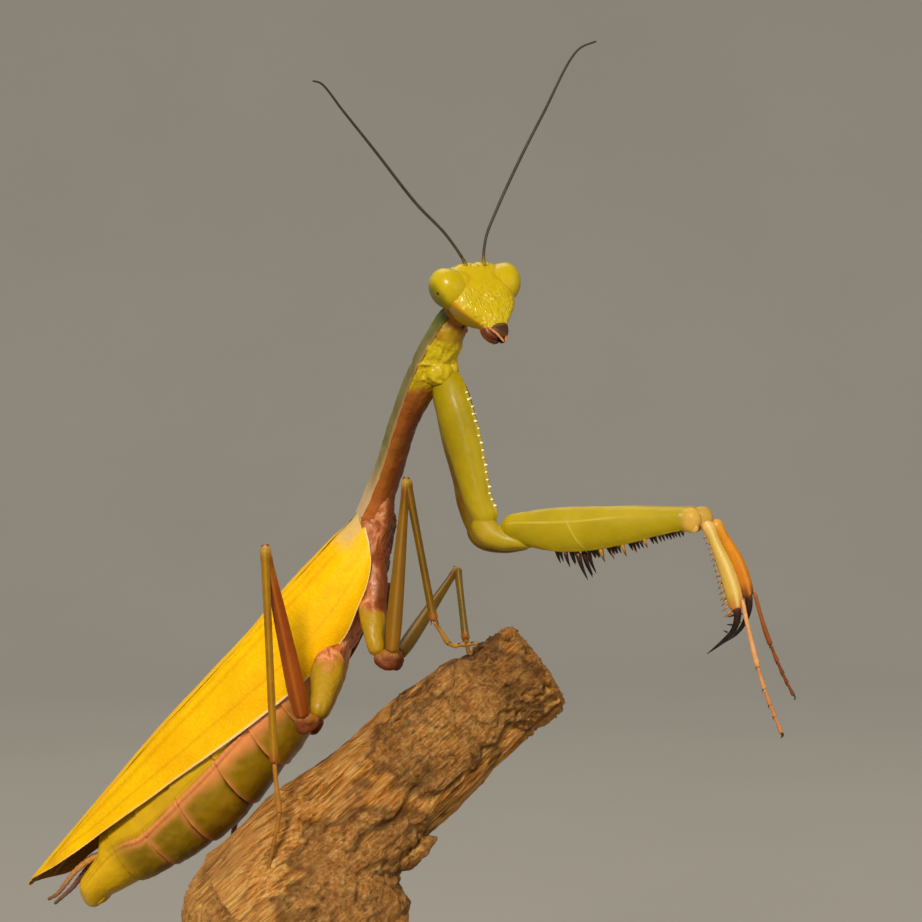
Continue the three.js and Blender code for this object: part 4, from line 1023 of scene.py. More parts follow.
def make_front_body():
    """The long front body below its plate, the leg sockets, and the folded neck."""
    neck = Path(((15.7, -9.6, 87.6), (16.6, -10.9, 89.7), (17.9, -12.6, 92.0)))

    def section(t, angle):
        end = rounded(t, 0.05, 0.08)
        x, z = np.sin(angle), np.cos(angle)
        ridge = 0.03 * hill(np.abs(x), 0.93, 0.05) * ease(0.1, 0.3, t)
        lift = 1 + 0.02 * rough(barrel(t, angle, 11, 1.6), 3, 41) - ridge
        half = plate_half(t) * end * lift
        top = (pro_depth(t) / 2 - 0.75) * end
        low = pro_depth(t) / 2 * end * lift
        # The part under the plate is nearly square, so that it fills the plate.
        square = np.sign(x) * np.abs(x) ** 0.2
        return np.where(z > 0, square, x) * half, np.where(z > 0, np.abs(z) ** 0.2 * top, z * low)

    def marks(u, v, points):
        angle = TURN * v
        drift = 0.06 * rough(points * 0.7, 3, 4)
        low = ease(0.3, -0.6, np.cos(angle) + 2 * drift)
        yellow = ease(0.6, 0.69, u + drift) * ease(0.98, 0.84, u + drift)
        base = ease(0.3, 0.0, u + drift)
        # Painted shade on the underside of the front body.
        dark = low * (ease(0.02, 0.2, u) * ease(0.72, 0.5, u) + 0.8 * ease(0.8, 0.9, u))
        return dark * 0.8, yellow * (0.9 - 0.4 * low), base * 0.6, 0

    def folds(t, angle):
        return 0.1 * np.sin(t * 24 + 1.2 * np.sin(angle)) * ease(0.05, 0.3, t)

    piece = Piece()
    piece.tube(PROTHORAX, PRO_BACK, section, 220, 110, marks=marks)
    # The sockets that the front legs turn in, and the scales round them.
    sockets = (((14.9, -9.2, 85.1), (1.3, 1.0, 0.9)), ((15.3, -6.0, 85.4), (0.9, 0.75, 0.95)),
               ((15.7, -8.0, 84.7), (0.85, 1.2, 0.85)), ((15.9, -9.1, 86.6), (0.62, 0.6, 0.7)),
               ((14.2, -8.9, 87.0), (0.75, 0.55, 0.6)), ((14.7, -9.7, 86.0), (0.8, 0.6, 0.7)),
               ((13.5, -8.0, 84.0), (0.8, 0.6, 1.0)), ((14.7, -9.8, 84.0), (1.35, 0.95, 1.25)),
               ((16.0, -9.3, 85.3), (0.5, 0.55, 0.6)), ((16.3, -9.3, 84.3), (0.5, 0.6, 0.6)))
    for centre, size in sockets:
        piece.bead(centre, size, cells=18)
    # The neck's first mask is painted shade on its underside.
    piece.limb(neck, PRO_BACK, ((0, 1.4), (0.5, 1.48), (1, 1.3)), ((0, 1.3), (0.5, 1.35), (1, 1.25)),
               110, 80, 0.05, 0.05, folds,
               marks=lambda u, v, p: (0.9 * ease(0.35, -0.7, np.cos(TURN * v)), 0, 0, 1))
    piece.fuse(0.09, 3)
    ridges = lambda p: creases(p * (0.9, 0.9, 0.7), 3, 17)
    socket = lambda p: ease(1, 0.66, far_from((14.9, -8.4, 85.2), p, (1, 0.7, 1)) / 3.7)

    def ripple(points, old):
        return (0.04 + 0.13 * socket(points)) * (ridges(points) - 0.5) + 0.05 * rough(points * 1.2, 3, 5)

    def masks(points, old):
        # Painted shade in the valleys of the ridges round the leg sockets.
        socket_crease_shade = ease(0.45, 0.15, ridges(points)) * socket(points)
        bare = socket(points)
        old[:, 0] = np.maximum(old[:, 0] * (1 - bare), 0.6 * socket_crease_shade)
        old[:, 1] = np.maximum(old[:, 1], bare)
        old[:, 2] *= 1 - bare
        old[:, 3] *= 1 - bare
        return old

    piece.crease(ripple, masks)
    for t, turn, size in ((0.2, 3.5, 0.42), (0.42, 3.2, 0.36), (0.6, 3.7, 0.3), (0.65, 2.8, 0.34),
                          (0.35, 2.5, 0.3)):
        centre, _, aside, above = neck.axes(t, PRO_BACK)
        out = aside * math.sin(turn) + above * math.cos(turn)
        piece.bead(centre + out * 1.28, (size, size, 0.9 * size), finish=1)
    # The first tint is painted shade, on the undersides of the front body and neck and in the creases round
    # the leg sockets.
    skin = cuticle("front_body_side", (158, 92, 22), (138, 66, 6), tints=((92, 38, 0),
                   (192, 166, 6), (196, 104, 42), (150, 92, 10)), patch=420, amount=0.6,
                   gloss=(0.34, 0.52), coat=0.08, depth=0.000014)
    scale = cuticle("neck_scales", (92, 40, 8), (126, 66, 16), patch=900, gloss=(0.3, 0.44))
    piece.finish("front_body", "prothorax_side", ["prothorax", "neck"], skin, scale)


# ---------------------------------------------------------------- head
# The head's own frame: left is the insect's own left, front is the way its face looks.
HEAD_CENTRE = np.array((18.4, -13.5, 92.8))
FACING = unit(np.array((0.4266, -0.8373, 0.342)))
LEVEL = unit(np.cross((0, 0, 1), FACING))
ROLL = math.radians(7.5)
HEAD_UP = unit(np.cross(FACING, LEVEL) * math.cos(ROLL) - LEVEL * math.sin(ROLL))
HEAD_LEFT = unit(np.cross(HEAD_UP, FACING))
HEAD_AXES = np.array((HEAD_LEFT, HEAD_UP, FACING))
EYE_OFFSET = 3.3
EYE_SIZE = np.array((1.6, 2.05, 1.9))

head_half = profile((-6.0, 0.75), (-5.6, 1.12), (-5.0, 1.62), (-4.1, 2.42), (-3.1, 3.2), (-2.2, 3.6),
                    (-1.1, 3.55), (0.4, 3.35), (1.4, 2.9), (2.0, 2.3))
head_front = profile((-6.0, 0.5), (-5.0, 0.85), (-3.6, 1.2), (-1.6, 1.5), (0.0, 1.62), (1.2, 1.45),
                     (2.0, 1.0))
head_rear = profile((-6.0, 0.6), (-5.0, 1.4), (-4.3, 2.3), (-3.6, 2.8), (-2.6, 2.95), (-1.6, 2.75),
                    (0.4, 2.25), (1.4, 1.7), (2.0, 1.2))
head_line = profile((-6.0, 1.45), (-5.6, 1.35), (-3, 0.7), (0, 0), (2.2, -0.3))
HEAD_TOP, HEAD_LOW = 2.12, -5.95


def on_head(left, up, front):
    """Where a point of the head's own frame lies in the part's frame."""
    return HEAD_CENTRE + stack(left, up, front) @ HEAD_AXES


def head_chain(side, *spots):
    """Points given for the head's left side, where side is 1; on the right it is -1."""
    return [on_head(side * left, up, front) for left, up, front in spots]


def face_relief(x, y, front):
    """Swellings and furrows of the face at x to its left and y up; front is 1 on the face."""
    reach = np.abs(x)
    shield = 0.015 * ease(1.5, 1.2, reach + 0.35 * np.abs(y - 0.15))
    shield = shield * ease(-0.8, -0.55, y) * ease(1.05, 0.8, y)
    furrow = -0.012 * hill(y + 0.06 * reach, -0.82, 0.12) * ease(2.4, 1.6, reach)
    clypeus = 0.015 * ease(1.8, 1.35, reach + 0.16 * (y + 1))
    clypeus = clypeus * ease(-0.95, -1.2, y) * ease(-4.9, -4.5, y)
    pebbles = (0.006 + 0.045 * ease(-0.5, -2.2, y)) * (face_pebbles(x, y) - 0.5)
    socket = np.hypot(reach - 1.05, y - 1.72)
    rings = 0.12 * hill(socket, 0.42, 0.13) - 0.1 * hill(socket, 0, 0.26)
    beads = 0.12 * hill(np.hypot(x, y - 1.35), 0, 0.17)
    beads = beads + 0.1 * hill(np.hypot(reach - 0.38, y - 1.72), 0, 0.15)
    lobes = 0.06 * hill(np.hypot(reach - 0.62, y - 1.05), 0, 0.22)
    return front * (shield + furrow + clypeus + pebbles + rings + beads + lobes)


def face_pebbles(x, y):
    """The fine uneven grain of the face, a little longer than it is wide."""
    return creases(stack(x * 3.4, y * 2.3, 3), 2, 50, 0.6)


def head_spot(u, v):
    """Where a point of the head's bare skin lies in the head's own frame."""
    y = mix(HEAD_LOW, HEAD_TOP, 0.5 - 0.5 * np.cos(math.pi * u))
    close = rounded(y, 0.5, 0.75, HEAD_LOW, HEAD_TOP)
    angle = TURN * v
    x, z = np.sin(angle), np.cos(angle)
    square = 1 / np.maximum(np.abs(x), np.abs(z)) ** 0.35
    reach = np.where(z > 0, head_front(y), head_rear(y))
    x = x * head_half(y) * close * square**0.5
    front = ease(0.0, 0.35, z)
    turn = np.minimum(angle, TURN - angle)
    cheek = hill(turn, 1.28, 0.1) * ease(1.2, -0.6, y) * ease(-5.7, -4.6, y)
    brow = 0.14 * hill(y, 1.85, 0.3) * hill(np.abs(x), 1.9, 0.6) * close
    z = z * reach * close * square + brow * np.sign(z)
    return x * (1 + 0.012 * cheek), y, z + 0.03 * cheek, turn, front


def make_head():
    """The head capsule: face shield, clypeus, cheeks, antenna rings and the three small eyes."""

    def at(u, v):
        x, y, z, *_ = head_spot(u, v)
        return on_head(x, y, z + head_line(y))

    def marks(u, v, points):
        _, y, _, turn, front = head_spot(u, v)
        drift = 0.3 * rough(points * 0.9, 3, 4)
        orange = hill(turn, 1.36 - 0.15 * drift, 0.17) * ease(-0.4, -1.6, y) * ease(-5.9, -5.0, y)
        # Painted shade: the second mask darkens the underside of the head behind the cheek line.
        under = ease(1.36, 1.5, turn + 0.1 * drift)
        return orange * 0.8, under * ease(1.5, -0.5, y), ease(-1.0, -4.5, y + drift) * front * 0.5, 0

    piece = Piece()
    piece.skin(300, 320, at, 0, marks)
    # The head swells out on either side into the beds of the eyes.
    girth = profile((0, 0.95), (0.03, 0.98), (0.1, 0.965), (0.2, 0.905), (0.3, 0.87), (0.5, 0.85),
                    (0.7, 0.87), (0.8, 0.905), (0.9, 0.965), (0.97, 0.98), (1, 0.95))
    beds = [on_head(left, -0.3, -0.1) for left in (-3.5, -1.75, 0, 1.75, 3.5)]
    piece.limb(beds, HEAD_UP, lambda t: girth(t) * EYE_SIZE[2], lambda t: girth(t) * EYE_SIZE[1],
               120, 150, 0.06, 0.06)
    # Brows fill the corners between the eyes and the crown.
    for side in (1, -1):
        brow = head_chain(side, (3.1, 0.9, -0.1), (2.2, 1.12, -0.1), (1.1, 1.3, -0.1))
        piece.limb(brow, FACING, ((0, 0.7), (1, 0.75)), ((0, 0.75), (1, 0.9)), 40, 40, 0.2, 0.2)
    piece.fuse(0.07, 9)

    def place(points):
        x, y, z = ((points - HEAD_CENTRE) @ HEAD_AXES.T).T
        return x, y, ease(-0.2, 0.5, z - head_line(y))

    def relief(points, old):
        x, y, front = place(points)
        flatter = -0.1 * ease(1.9, 3.0, np.abs(x)) * front * ease(-3.4, -2.2, y)
        return face_relief(x, y, front) * ease(3.3, 2.4, np.abs(x)) + flatter

    def repaint(points, old):
        x, y, front = place(points)
        # Painted highlights: pale glints on the tops of the face's grain, in clusters on the lower face.
        patches = ease(-0.35, 0.35, rough(points * 0.9, 2, 8))
        old[:, 3] = 0.55 * ease(0.85, 1.2, face_pebbles(x, y)) * ease(-0.8, -2.2, y) * front * patches
        return old

    piece.crease(relief, repaint)
    # The second tint is painted shade under the head, and the last one painted glints on the lower face.
    shell = cuticle("head_shell", (198, 170, 0), (180, 152, 0), tints=((214, 112, 2),
                    (158, 126, 4), (192, 166, 0), (240, 220, 96)), patch=420, amount=0.6,
                    pits=11000, swell=0.7, depth=0.000012, gloss=(0.28, 0.42), shine=0.2, coat=0.25,
                    coat_rough=0.08)
    piece.finish("head_capsule", "head_shell", ["head"], shell)


def eye_dome(u, v, side, size):
    """The tall dome of a compound eye; side is 1 on the insect's left."""
    wide, tall, deep = EYE_SIZE * size
    x, z, y = ball(u, v)
    reach = np.where(side * x > 0, 1 + 0.04 * ease(0, 1, side * x), 1.6)
    left = side * EYE_OFFSET + x * wide * reach + 0.1 * side * y * tall
    return on_head(left, y * tall - 0.3, z * deep - 0.1)


def make_eye(side, name):
    """A compound eye: a tall smooth dome of fine facets, with its small dark false pupil."""

    def marks(u, v, points):
        x, z, y = ball(u, v)
        x = side * x
        drift = 0.1 * rough(points * 0.8, 3, 14)
        rim = ease(0.42, 0.95, 0.85 * x - 0.35 * y - 0.3 * z + drift)
        pale = ease(0.65, 1.05, 0.55 * x + 0.75 * y + 0.1 * z + drift) * 0.5
        away = np.sqrt((x - 0.915) ** 2 + (y + 0.3) ** 2 + (z - 0.27) ** 2)
        dot = hill(away, 0, 0.07) * 1.8
        return rim, pale, np.clip(dot, 0, 1), 0.3 * hill(away, 0.13, 0.05)

    piece = Piece()
    piece.skin(110, 180, lambda u, v: eye_dome(u, v, side, 1.012), 0, marks)
    lens = cuticle(f"eye_{name}_facets", (194, 168, 0), (182, 154, 0), tints=((112, 104, 10),
                   (204, 190, 70), (24, 14, 8), (180, 140, 30)), patch=360, amount=0.5,
                   pits=26000, swell=0.15, depth=0.000006, gloss=(0.26, 0.34), shine=0.18, coat=0.16,
                   coat_rough=0.14)
    piece.finish(f"eye_{name}_dome", "eye", [f"eye_{name}"], lens)


def make_mouth():
    """Upper lip, jaws, inner jaws and lower lip, with their jointed feelers."""
    piece = Piece()
    lip = head_chain(1, (0.1, -5.1, 1.65), (0.15, -6.0, 1.95), (0.2, -6.9, 2.05))
    groove = lambda a: 0.04 * hill(np.sin(a), 0, 0.1) * (np.cos(a) > 0)
    piece.limb(lip, FACING, ((0, 1.0), (0.4, 0.85), (0.75, 0.5), (1, 0.2)),
               ((0, 0.28), (0.5, 0.32), (1, 0.2)), 50, 44, 0.15, 0.25,
               relief=lambda t, a: 0.05 * hill(t, 0.35, 0.1) - groove(a))
    knots = lambda t, a: 0.03 * np.sin(math.pi * saw(t * 5)) ** 0.7 - 0.02
    for side in (1, -1):
        jaw = head_chain(side, (1.0, -4.9, 1.0), (0.88, -5.8, 1.15), (0.3, -6.8, 1.6))
        piece.limb(jaw, FACING, ((0, 0.48), (0.5, 0.48), (1, 0.2)), ((0, 0.55), (0.5, 0.48), (1, 0.22)),
                   40, 30, 0.12, 0.1, finish=1)
        inner = head_chain(side, (0.9, -5.0, 0.4), (0.88, -6.0, 0.75), (0.28, -7.1, 1.35))
        piece.limb(inner, FACING, ((0, 0.4), (0.5, 0.4), (1, 0.16)), ((0, 0.45), (0.6, 0.4), (1, 0.16)),
                   40, 28, 0.12, 0.08, finish=1)
        palp = head_chain(side, (1.3, -4.95, 1.2), (0.98, -5.5, 1.65), (0.55, -6.2, 1.95))
        palp.append(on_head(0.1 + side * 0.1, -7.3, 2.1))
        girth = ((0, 0.16), (0.5, 0.15), (1, 0.1))
        piece.limb(palp, FACING, girth, girth, 90, 18, 0.03, 0.05, knots, finish=2)
        lower = head_chain(side, (0.45, -5.4, -0.1), (0.6, -6.3, 0.25), (0.38, -7.0, 0.9))
        girth = ((0, 0.15), (1, 0.1))
        piece.limb(lower, FACING, girth, girth, 50, 14, 0.04, 0.08, knots, finish=2)
    chin = head_chain(1, (0, -4.8, -0.1), (0, -5.9, 0.25), (0, -6.85, 1.0))
    piece.limb(chin, FACING, ((0, 0.8), (0.6, 0.72), (1, 0.35)), ((0, 0.45), (0.5, 0.4), (1, 0.25)),
               44, 36, 0.15, 0.15, finish=1)
    lip_brown = cuticle("lip_brown", (84, 50, 16), (56, 32, 12), length=((0, (180, 140, 10)),
                        (0.16, (120, 80, 14)), (0.4, (72, 42, 14)), (1, (90, 50, 20))),
                        patch=900, gloss=(0.32, 0.48), coat=0.1)
    jaw_red = cuticle("jaw_red", (104, 44, 12), (70, 28, 8), length=((0, (180, 120, 12)),
                      (0.25, (136, 66, 14)), (0.8, (90, 36, 10)), (1, (44, 18, 8))), patch=900,
                      gloss=(0.32, 0.48), coat=0.1)
    palp_tan = cuticle("palp_tan", (196, 126, 70), (160, 92, 44), patch=1200)
    piece.finish("mouth", "mouth", ["mouthparts"], lip_brown, jaw_red, palp_tan)


FEELERS = {
    "right": ((17.35, -14.6, 94.75), (15.5, -15.5, 97.4), (12.6, -17.2, 100.3), (8.6, -20, 105.2),
              (5.6, -22, 108.8), (3.6, -23.3, 111.2), (2.8, -23.8, 111.4)),
    "left": ((19.25, -13.75, 94.95), (19.5, -13.9, 97.3), (20.4, -13.6, 99.7), (22.6, -12.6, 104.6),
             (25.2, -11.6, 109.8), (28.8, -10.4, 116.5), (30.7, -9.8, 117.5)),
}


def make_feeler(name):
    """An antenna: two stout joints, then a hundred short ones in a fine whip."""
    start = np.array(FEELERS[name][0]) - 0.55 * HEAD_UP
    path = Path([start, *FEELERS[name]])
    first, second = 0.95 / path.length, 1.4 / path.length
    taper = profile((0, 0.16), (0.6 * first, 0.2), (0.95 * first, 0.17), (1.05 * first, 0.14),
                    (0.9 * second, 0.17), (1.05 * second, 0.14), (0.3, 0.15), (0.6, 0.14), (0.9, 0.11),
                    (1, 0.09))

    def rings(t, angle):
        ring = np.sin(math.pi * saw((t - second) * 112)) ** 0.5
        return np.where(t > second, 0.02 * (ring - 0.5), 0)

    piece = Piece()
    piece.limb(path, (0, 1, 0), taper, taper, 900, 12, 0.004, 0.003, rings)
    whip = cuticle(f"feeler_{name}_whip", (70, 60, 46), (50, 42, 32), length=(
                   (0, (176, 146, 12)), (0.03, (110, 88, 26)), (0.05, (74, 64, 48)),
                   (1, (56, 48, 38))), patch=500, gloss=(0.45, 0.62), coat=0.03)
    piece.finish(f"feeler_{name}", "feeler", [f"antenna_{name}"], whip)


# ---------------------------------------------------------------- front legs
# Places down the middle of each part; across is the direction through the leg's flat sides.
FORELEGS = {
    "right": {
        "coxa": ((15.0, -8.5, 84.3), (15.55, -9.0, 83.0), (16.1, -9.7, 81), (16.8, -10.1, 78.6),
                 (17.5, -10.4, 76.1), (18.15, -10.8, 73.4), (18.75, -11.1, 71.1),
                 (19.4, -11.3, 69.6), (20.0, -11.5, 68.4)),
        "trochanter": ((18.8, -11.1, 69.6), (19.7, -11.4, 67.9), (21.2, -11.8, 67.1), (22.6, -12.2, 66.85),
                       (24.2, -12.7, 66.45)),
        "femur": ((21.0, -11.9, 68.28), (22.9, -12.6, 68.32), (24.1, -13.1, 68.2), (26.85, -14.2, 68.1),
                  (29.8, -15.4, 68.25), (33.6, -17.0, 68.66), (37.9, -18.8, 69.22), (40.4, -19.85, 69.3)),
        "tibia": ((40.7, -19.8, 69.1), (41.15, -19.9, 68.3), (41.8, -20, 66.8), (42.76, -20.3, 64.4),
                  (43.45, -20.6, 62), (43.75, -20.8, 60.4)),
        "claw": ((43.65, -20.8, 61.2), (43.8, -20.85, 59.9), (43.4, -20.8, 58.6), (42.5, -20.7, 57.6),
                 (40.85, -20.5, 56.25)),
        "tarsus": ((44.2, -21.4, 61.6), (44.7, -21.7, 59), (46.1, -22, 53.5), (47.9, -22.2, 48.7)),
        "across": (0.39, 0.92, 0.05),
    },
    "left": {
        "coxa": ((15.2, -5.3, 84.4), (15.5, -5.1, 83.2), (16.3, -5.1, 80.4), (17.1, -5, 76.8),
                 (17.8, -4.9, 73.4), (18.2, -4.7, 70.4), (18.95, -4.6, 68.3), (19.7, -4.5, 67.3)),
        "trochanter": ((18.4, -4.6, 68.9), (19.3, -4.5, 67.3), (21.2, -4.4, 66.5), (24.0, -4.5, 66.0)),
        "femur": ((21.2, -4.45, 68.2), (24.6, -4.6, 68.0), (30.3, -5, 68), (35.7, -5.5, 68.6),
                  (40, -5.9, 69.1), (42.9, -6.1, 69.2)),
        "tibia": ((43, -6.2, 69.0), (43.3, -6.2, 68.3), (44, -6.3, 67), (45.2, -6.5, 64.7),
                  (46.4, -6.7, 60.9)),
        "claw": ((46.4, -6.7, 61.6), (46.5, -6.7, 60.0), (46.1, -6.65, 58.6), (45.3, -6.6, 57.4),
                 (43.7, -6.5, 56.2)),
        "tarsus": ((47, -7.0, 61.6), (48.2, -7.2, 57.4), (50, -7.3, 53), (51, -7.4, 51)),
        "across": (0.07, 0.99, 0.02),
    },
}
# Thigh spines: place along it, length, lean across it (minus is the outer row) and paleness.
THIGH_SPINES = (
    (0.277, 1.2, 0.25, 0), (0.325, 1.5, -0.2, 0), (0.347, 1.15, 0.3, 0), (0.38, 2.85, -0.1, 0),
    (0.402, 2.45, 0.3, 0), (0.428, 0.75, 0.35, 0), (0.445, 0.8, 0.35, 0), (0.462, 0.8, 0.35, 0),
    (0.497, 1.25, -0.35, 1), (0.522, 0.7, 0.35, 0), (0.54, 0.75, 0.35, 0), (0.556, 0.65, 0.35, 0),
    (0.606, 1.1, -0.35, 1), (0.63, 0.7, 0.35, 0), (0.647, 0.78, 0.35, 0), (0.664, 0.72, 0.35, 0),
    (0.715, 0.8, -0.35, 1), (0.736, 0.6, 0.35, 0), (0.752, 0.62, 0.35, 0), (0.812, 0.55, 0.3, 0),
    (0.828, 0.65, 0.3, 0), (0.844, 0.6, 0.3, 0), (0.9, 0.4, 0.25, 1),
)
coxa_across = profile((0, 1.15), (0.12, 1.75), (0.27, 1.92), (0.45, 1.9), (0.6, 1.75), (0.83, 1.45),
                      (0.96, 1.3), (1, 1.2))
coxa_deep = profile((0, 1.1), (0.3, 1.4), (0.7, 1.3), (1, 1.1))
thigh_across = profile((0, 1.1), (0.1, 1.46), (0.16, 1.83), (0.3, 2.2), (0.45, 2.2), (0.55, 2.05),
                       (0.65, 1.81), (0.76, 1.48), (0.87, 1.19), (0.95, 1.1), (1, 1.05))
thigh_deep = profile((0, 0.8), (0.2, 1.1), (0.5, 1.2), (0.8, 0.9), (1, 0.75))


def hip_relief(t, angle):
    """Keels along the coxa, and its uneven skin."""
    return (0.1 * hill(angle, math.radians(92), 0.16) + 0.05 * hill(angle, math.radians(268), 0.2)
            - 0.05 * hill(angle, math.radians(140), 0.16) * ease(0.1, 0.3, t)
            + 0.035 * rough(barrel(t, angle, 9, 1.4), 3, 7))


def slant(t, angle):
    """A short slanting line across the side of the thigh."""
    centre = math.radians(156) + math.radians(78) * (t - 0.35) / 0.075
    return hill(angle, centre, 0.06) * ease(0.345, 0.355, t) * ease(0.43, 0.42, t)


def stripe(t, angle):
    """The long pale line down the side of the thigh."""
    centre = np.radians(np.interp(t, (0, 0.35, 0.5, 0.68, 1), (158, 157, 154, 148, 140)))
    return hill(angle, centre, 0.05) * ease(0.02, 0.06, t) * ease(0.72, 0.5, t)


def thigh_relief(t, angle):
    """The thigh's keel, the tray its shin folds into, its lines and its knee."""
    keel = 0.1 * hill(angle, math.radians(92), 0.14)
    tray = -0.22 * hill(angle, math.radians(270), 0.2) * ease(0.2, 0.35, t) * ease(0.95, 0.85, t)
    rails = hill(angle, math.radians(246), 0.1) + hill(angle, math.radians(294), 0.1)
    rails = 0.08 * rails * ease(0.2, 0.3, t)
    knee = -0.08 * hill(t, 0.915 + 0.01 * np.sin(angle), 0.012)
    lobe = 0.25 * hill(t, 0.955, 0.03) * hill(angle, math.radians(235), 0.5)
    lines = 0.06 * stripe(t, angle) + 0.05 * slant(t, angle)
    skin = 0.03 * rough(barrel(t, angle, 12, 1.2), 3, 19)
    return lines + keel + tray + rails + knee + lobe + skin


def thigh_marks(u, v, points):
    """Where the thigh is pale, knee-coloured, dark and lighter."""
    angle = np.degrees(TURN * v)
    drift = 0.25 * rough(points * 0.4, 3, 9)
    pale = np.maximum(0.55 * hill(angle, 92, 8) * ease(0.0, 0.1, u), 0.95 * stripe(u, TURN * v))
    pale = np.maximum(pale, 0.95 * slant(u, TURN * v))
    low = 0.3 * hill(angle, 270, 22) * ease(0.25, 0.35, u)
    return pale, ease(0.9, 0.94, u), low, np.clip(0.25 + drift + 0.3 * hill(angle, 125, 40), 0, 1)


def add_coxa_teeth(piece, coxa, across):
    """A row of small pale teeth down the front edge of a coxa."""
    teeth = 17
    for i in range(teeth):
        t = 0.2 + 0.7 * i / (teeth - 1)
        centre, along, aside, above = coxa.axes(t, across)
        turn = math.radians(100 + 4 * math.sin(i * 2.3))
        out = aside * math.sin(turn) + above * math.cos(turn)
        root = centre + aside * math.sin(turn) * coxa_across(t) + above * math.cos(turn) * coxa_deep(t)
        big = i % 3 == 1
        tip = root + out * (0.25 + 0.08 * big) + along * 0.06
        piece.spine(root - 0.05 * out, tip, 0.14 + 0.03 * big, 1)


def add_thigh_spines(piece, thigh, across, sign):
    """The rows of spines under a thigh; sign is -1 on the far leg."""
    for t, length, lean, pale in THIGH_SPINES:
        centre, along, aside, above = thigh.axes(t, across)
        root = centre - aside * (thigh_across(t) - 0.25) + above * lean * 1.1 * sign
        tip = root - aside * (length + 0.25) + along * 0.34 * length + above * 0.35 * lean * sign
        piece.spine(root, tip, 0.19 + 0.05 * length, 2 + pale, -0.05 * length * along, sides=9)


def add_knee_lobes(piece, thigh, across):
    """Lobes either side of the knee."""
    for lean in (-0.5, 0.5):
        centre, along, aside, above = thigh.axes(0.965, across)
        centre = centre + above * lean
        points = [centre - aside * 0.2 - along * 0.6, centre - aside * 0.75,
                  centre - aside * 0.95 + along * 0.55]
        piece.limb(points, above, ((0, 0.35), (0.5, 0.5), (1, 0.3)), ((0, 0.14), (1, 0.12)),
                   24, 20, 0.2, 0.3, finish=4)


def front_leg_paints(side, far):
    """Skin, teeth, dark spines, pale spines and knee of a front leg."""
    # Painted shade: the far leg's skin takes darker copies of the near leg's colours.
    far_shade = 0.84 if far else 1.0
    body = cuticle(f"front_leg_skin_{side}", (162 * far_shade, 140 * far_shade, 0), (144 * far_shade, 122 * far_shade, 0),
                   tints=((204, 188, 76), (206, 156, 70), (92, 38, 4),
                   (184 * far_shade, 158 * far_shade, 22)), patch=300, amount=0.6, gloss=(0.36, 0.5),
                   shine=0.18, coat=0.06)
    tooth = cuticle(f"hip_teeth_{side}", (252, 246, 214), (240, 226, 170), patch=1500)
    dark = cuticle(f"thigh_spines_{side}", (50, 26, 10), (26, 13, 6), length=((0, (130, 84, 20)),
                   (0.16, (84, 44, 12)), (0.4, (38, 18, 7)), (1, (12, 7, 4))), patch=2000,
                   gloss=(0.26, 0.4), coat=0.12)
    amber = cuticle(f"thigh_pale_spines_{side}", (196, 140, 50), (160, 100, 30), length=(
                    (0, (160, 136, 16)), (0.4, (176, 124, 40)), (0.7, (90, 50, 16)),
                    (1, (22, 12, 6))), patch=2000, gloss=(0.3, 0.42), coat=0.06)
    knee = cuticle(f"thigh_knee_{side}", (214, 168, 86), (190, 136, 50), patch=900)
    return body, tooth, dark, amber, knee


def make_front_leg(side, spec):
    """Hip, hip ring and grasping thigh in one skin, with their teeth and their rows of spines."""
    across = spec["across"]
    coxa, thigh = Path(spec["coxa"]), Path(spec["femur"])
    far = side == "left"

    def hip_marks(u, v, points):
        angle = np.degrees(TURN * v)
        drift = 0.2 * rough(points * 0.5, 3, 9)
        edge = 0.5 * hill(angle, 92, 12) * ease(0.12, 0.3, u)
        shade = 0.9 * ease(0.3, 0.6, u) if far else 0.2
        rear = ease(180, 225, angle) * ease(345, 310, angle) * shade
        rear = np.maximum(rear, 0.6 * far * hill(angle, 90, 50))
        return edge, 0, rear, np.clip(0.45 * ease(0.3, 1.0, u) + drift, 0, 1)

    def ring_marks(u, v, points):
        angle = np.degrees(TURN * v)
        low = ease(190, 240, angle) * ease(340, 300, angle)
        dark = (0.95 if far else 0.35) * np.maximum(low, 0.8 * ease(0.6, 0.1, u) * far)
        return 0, 0.1 + 0.25 * hill(u, 0.3, 0.08) * (not far), dark, 0.3

    piece = Piece()
    piece.limb(coxa, across, coxa_across, coxa_deep, 150, 110, 0.07, 0.08, hip_relief,
               marks=hip_marks)
    piece.limb(spec["trochanter"], across,
               ((0, 1.2), (0.25, 1.36), (0.5, 1.15), (0.75, 0.75), (1, 0.14)),
               ((0, 1.0), (0.4, 1.1), (0.8, 0.8), (1, 0.2)), 110, 80, 0.16, 0.03, marks=ring_marks)
    piece.limb(thigh, across, thigh_across, thigh_deep, 320, 240, 0.06, 0.045, thigh_relief,
               marks=thigh_marks)
    piece.fuse(0.085, 2)
    add_coxa_teeth(piece, coxa, across)
    add_thigh_spines(piece, thigh, across, -1 if far else 1)
    add_knee_lobes(piece, thigh, across)
    nodes = [f"fore_{part}_{side}" for part in ("coxa", "trochanter", "femur")]
    piece.finish(f"front_leg_{side}", "fore_leg", nodes, *front_leg_paints(side, far))


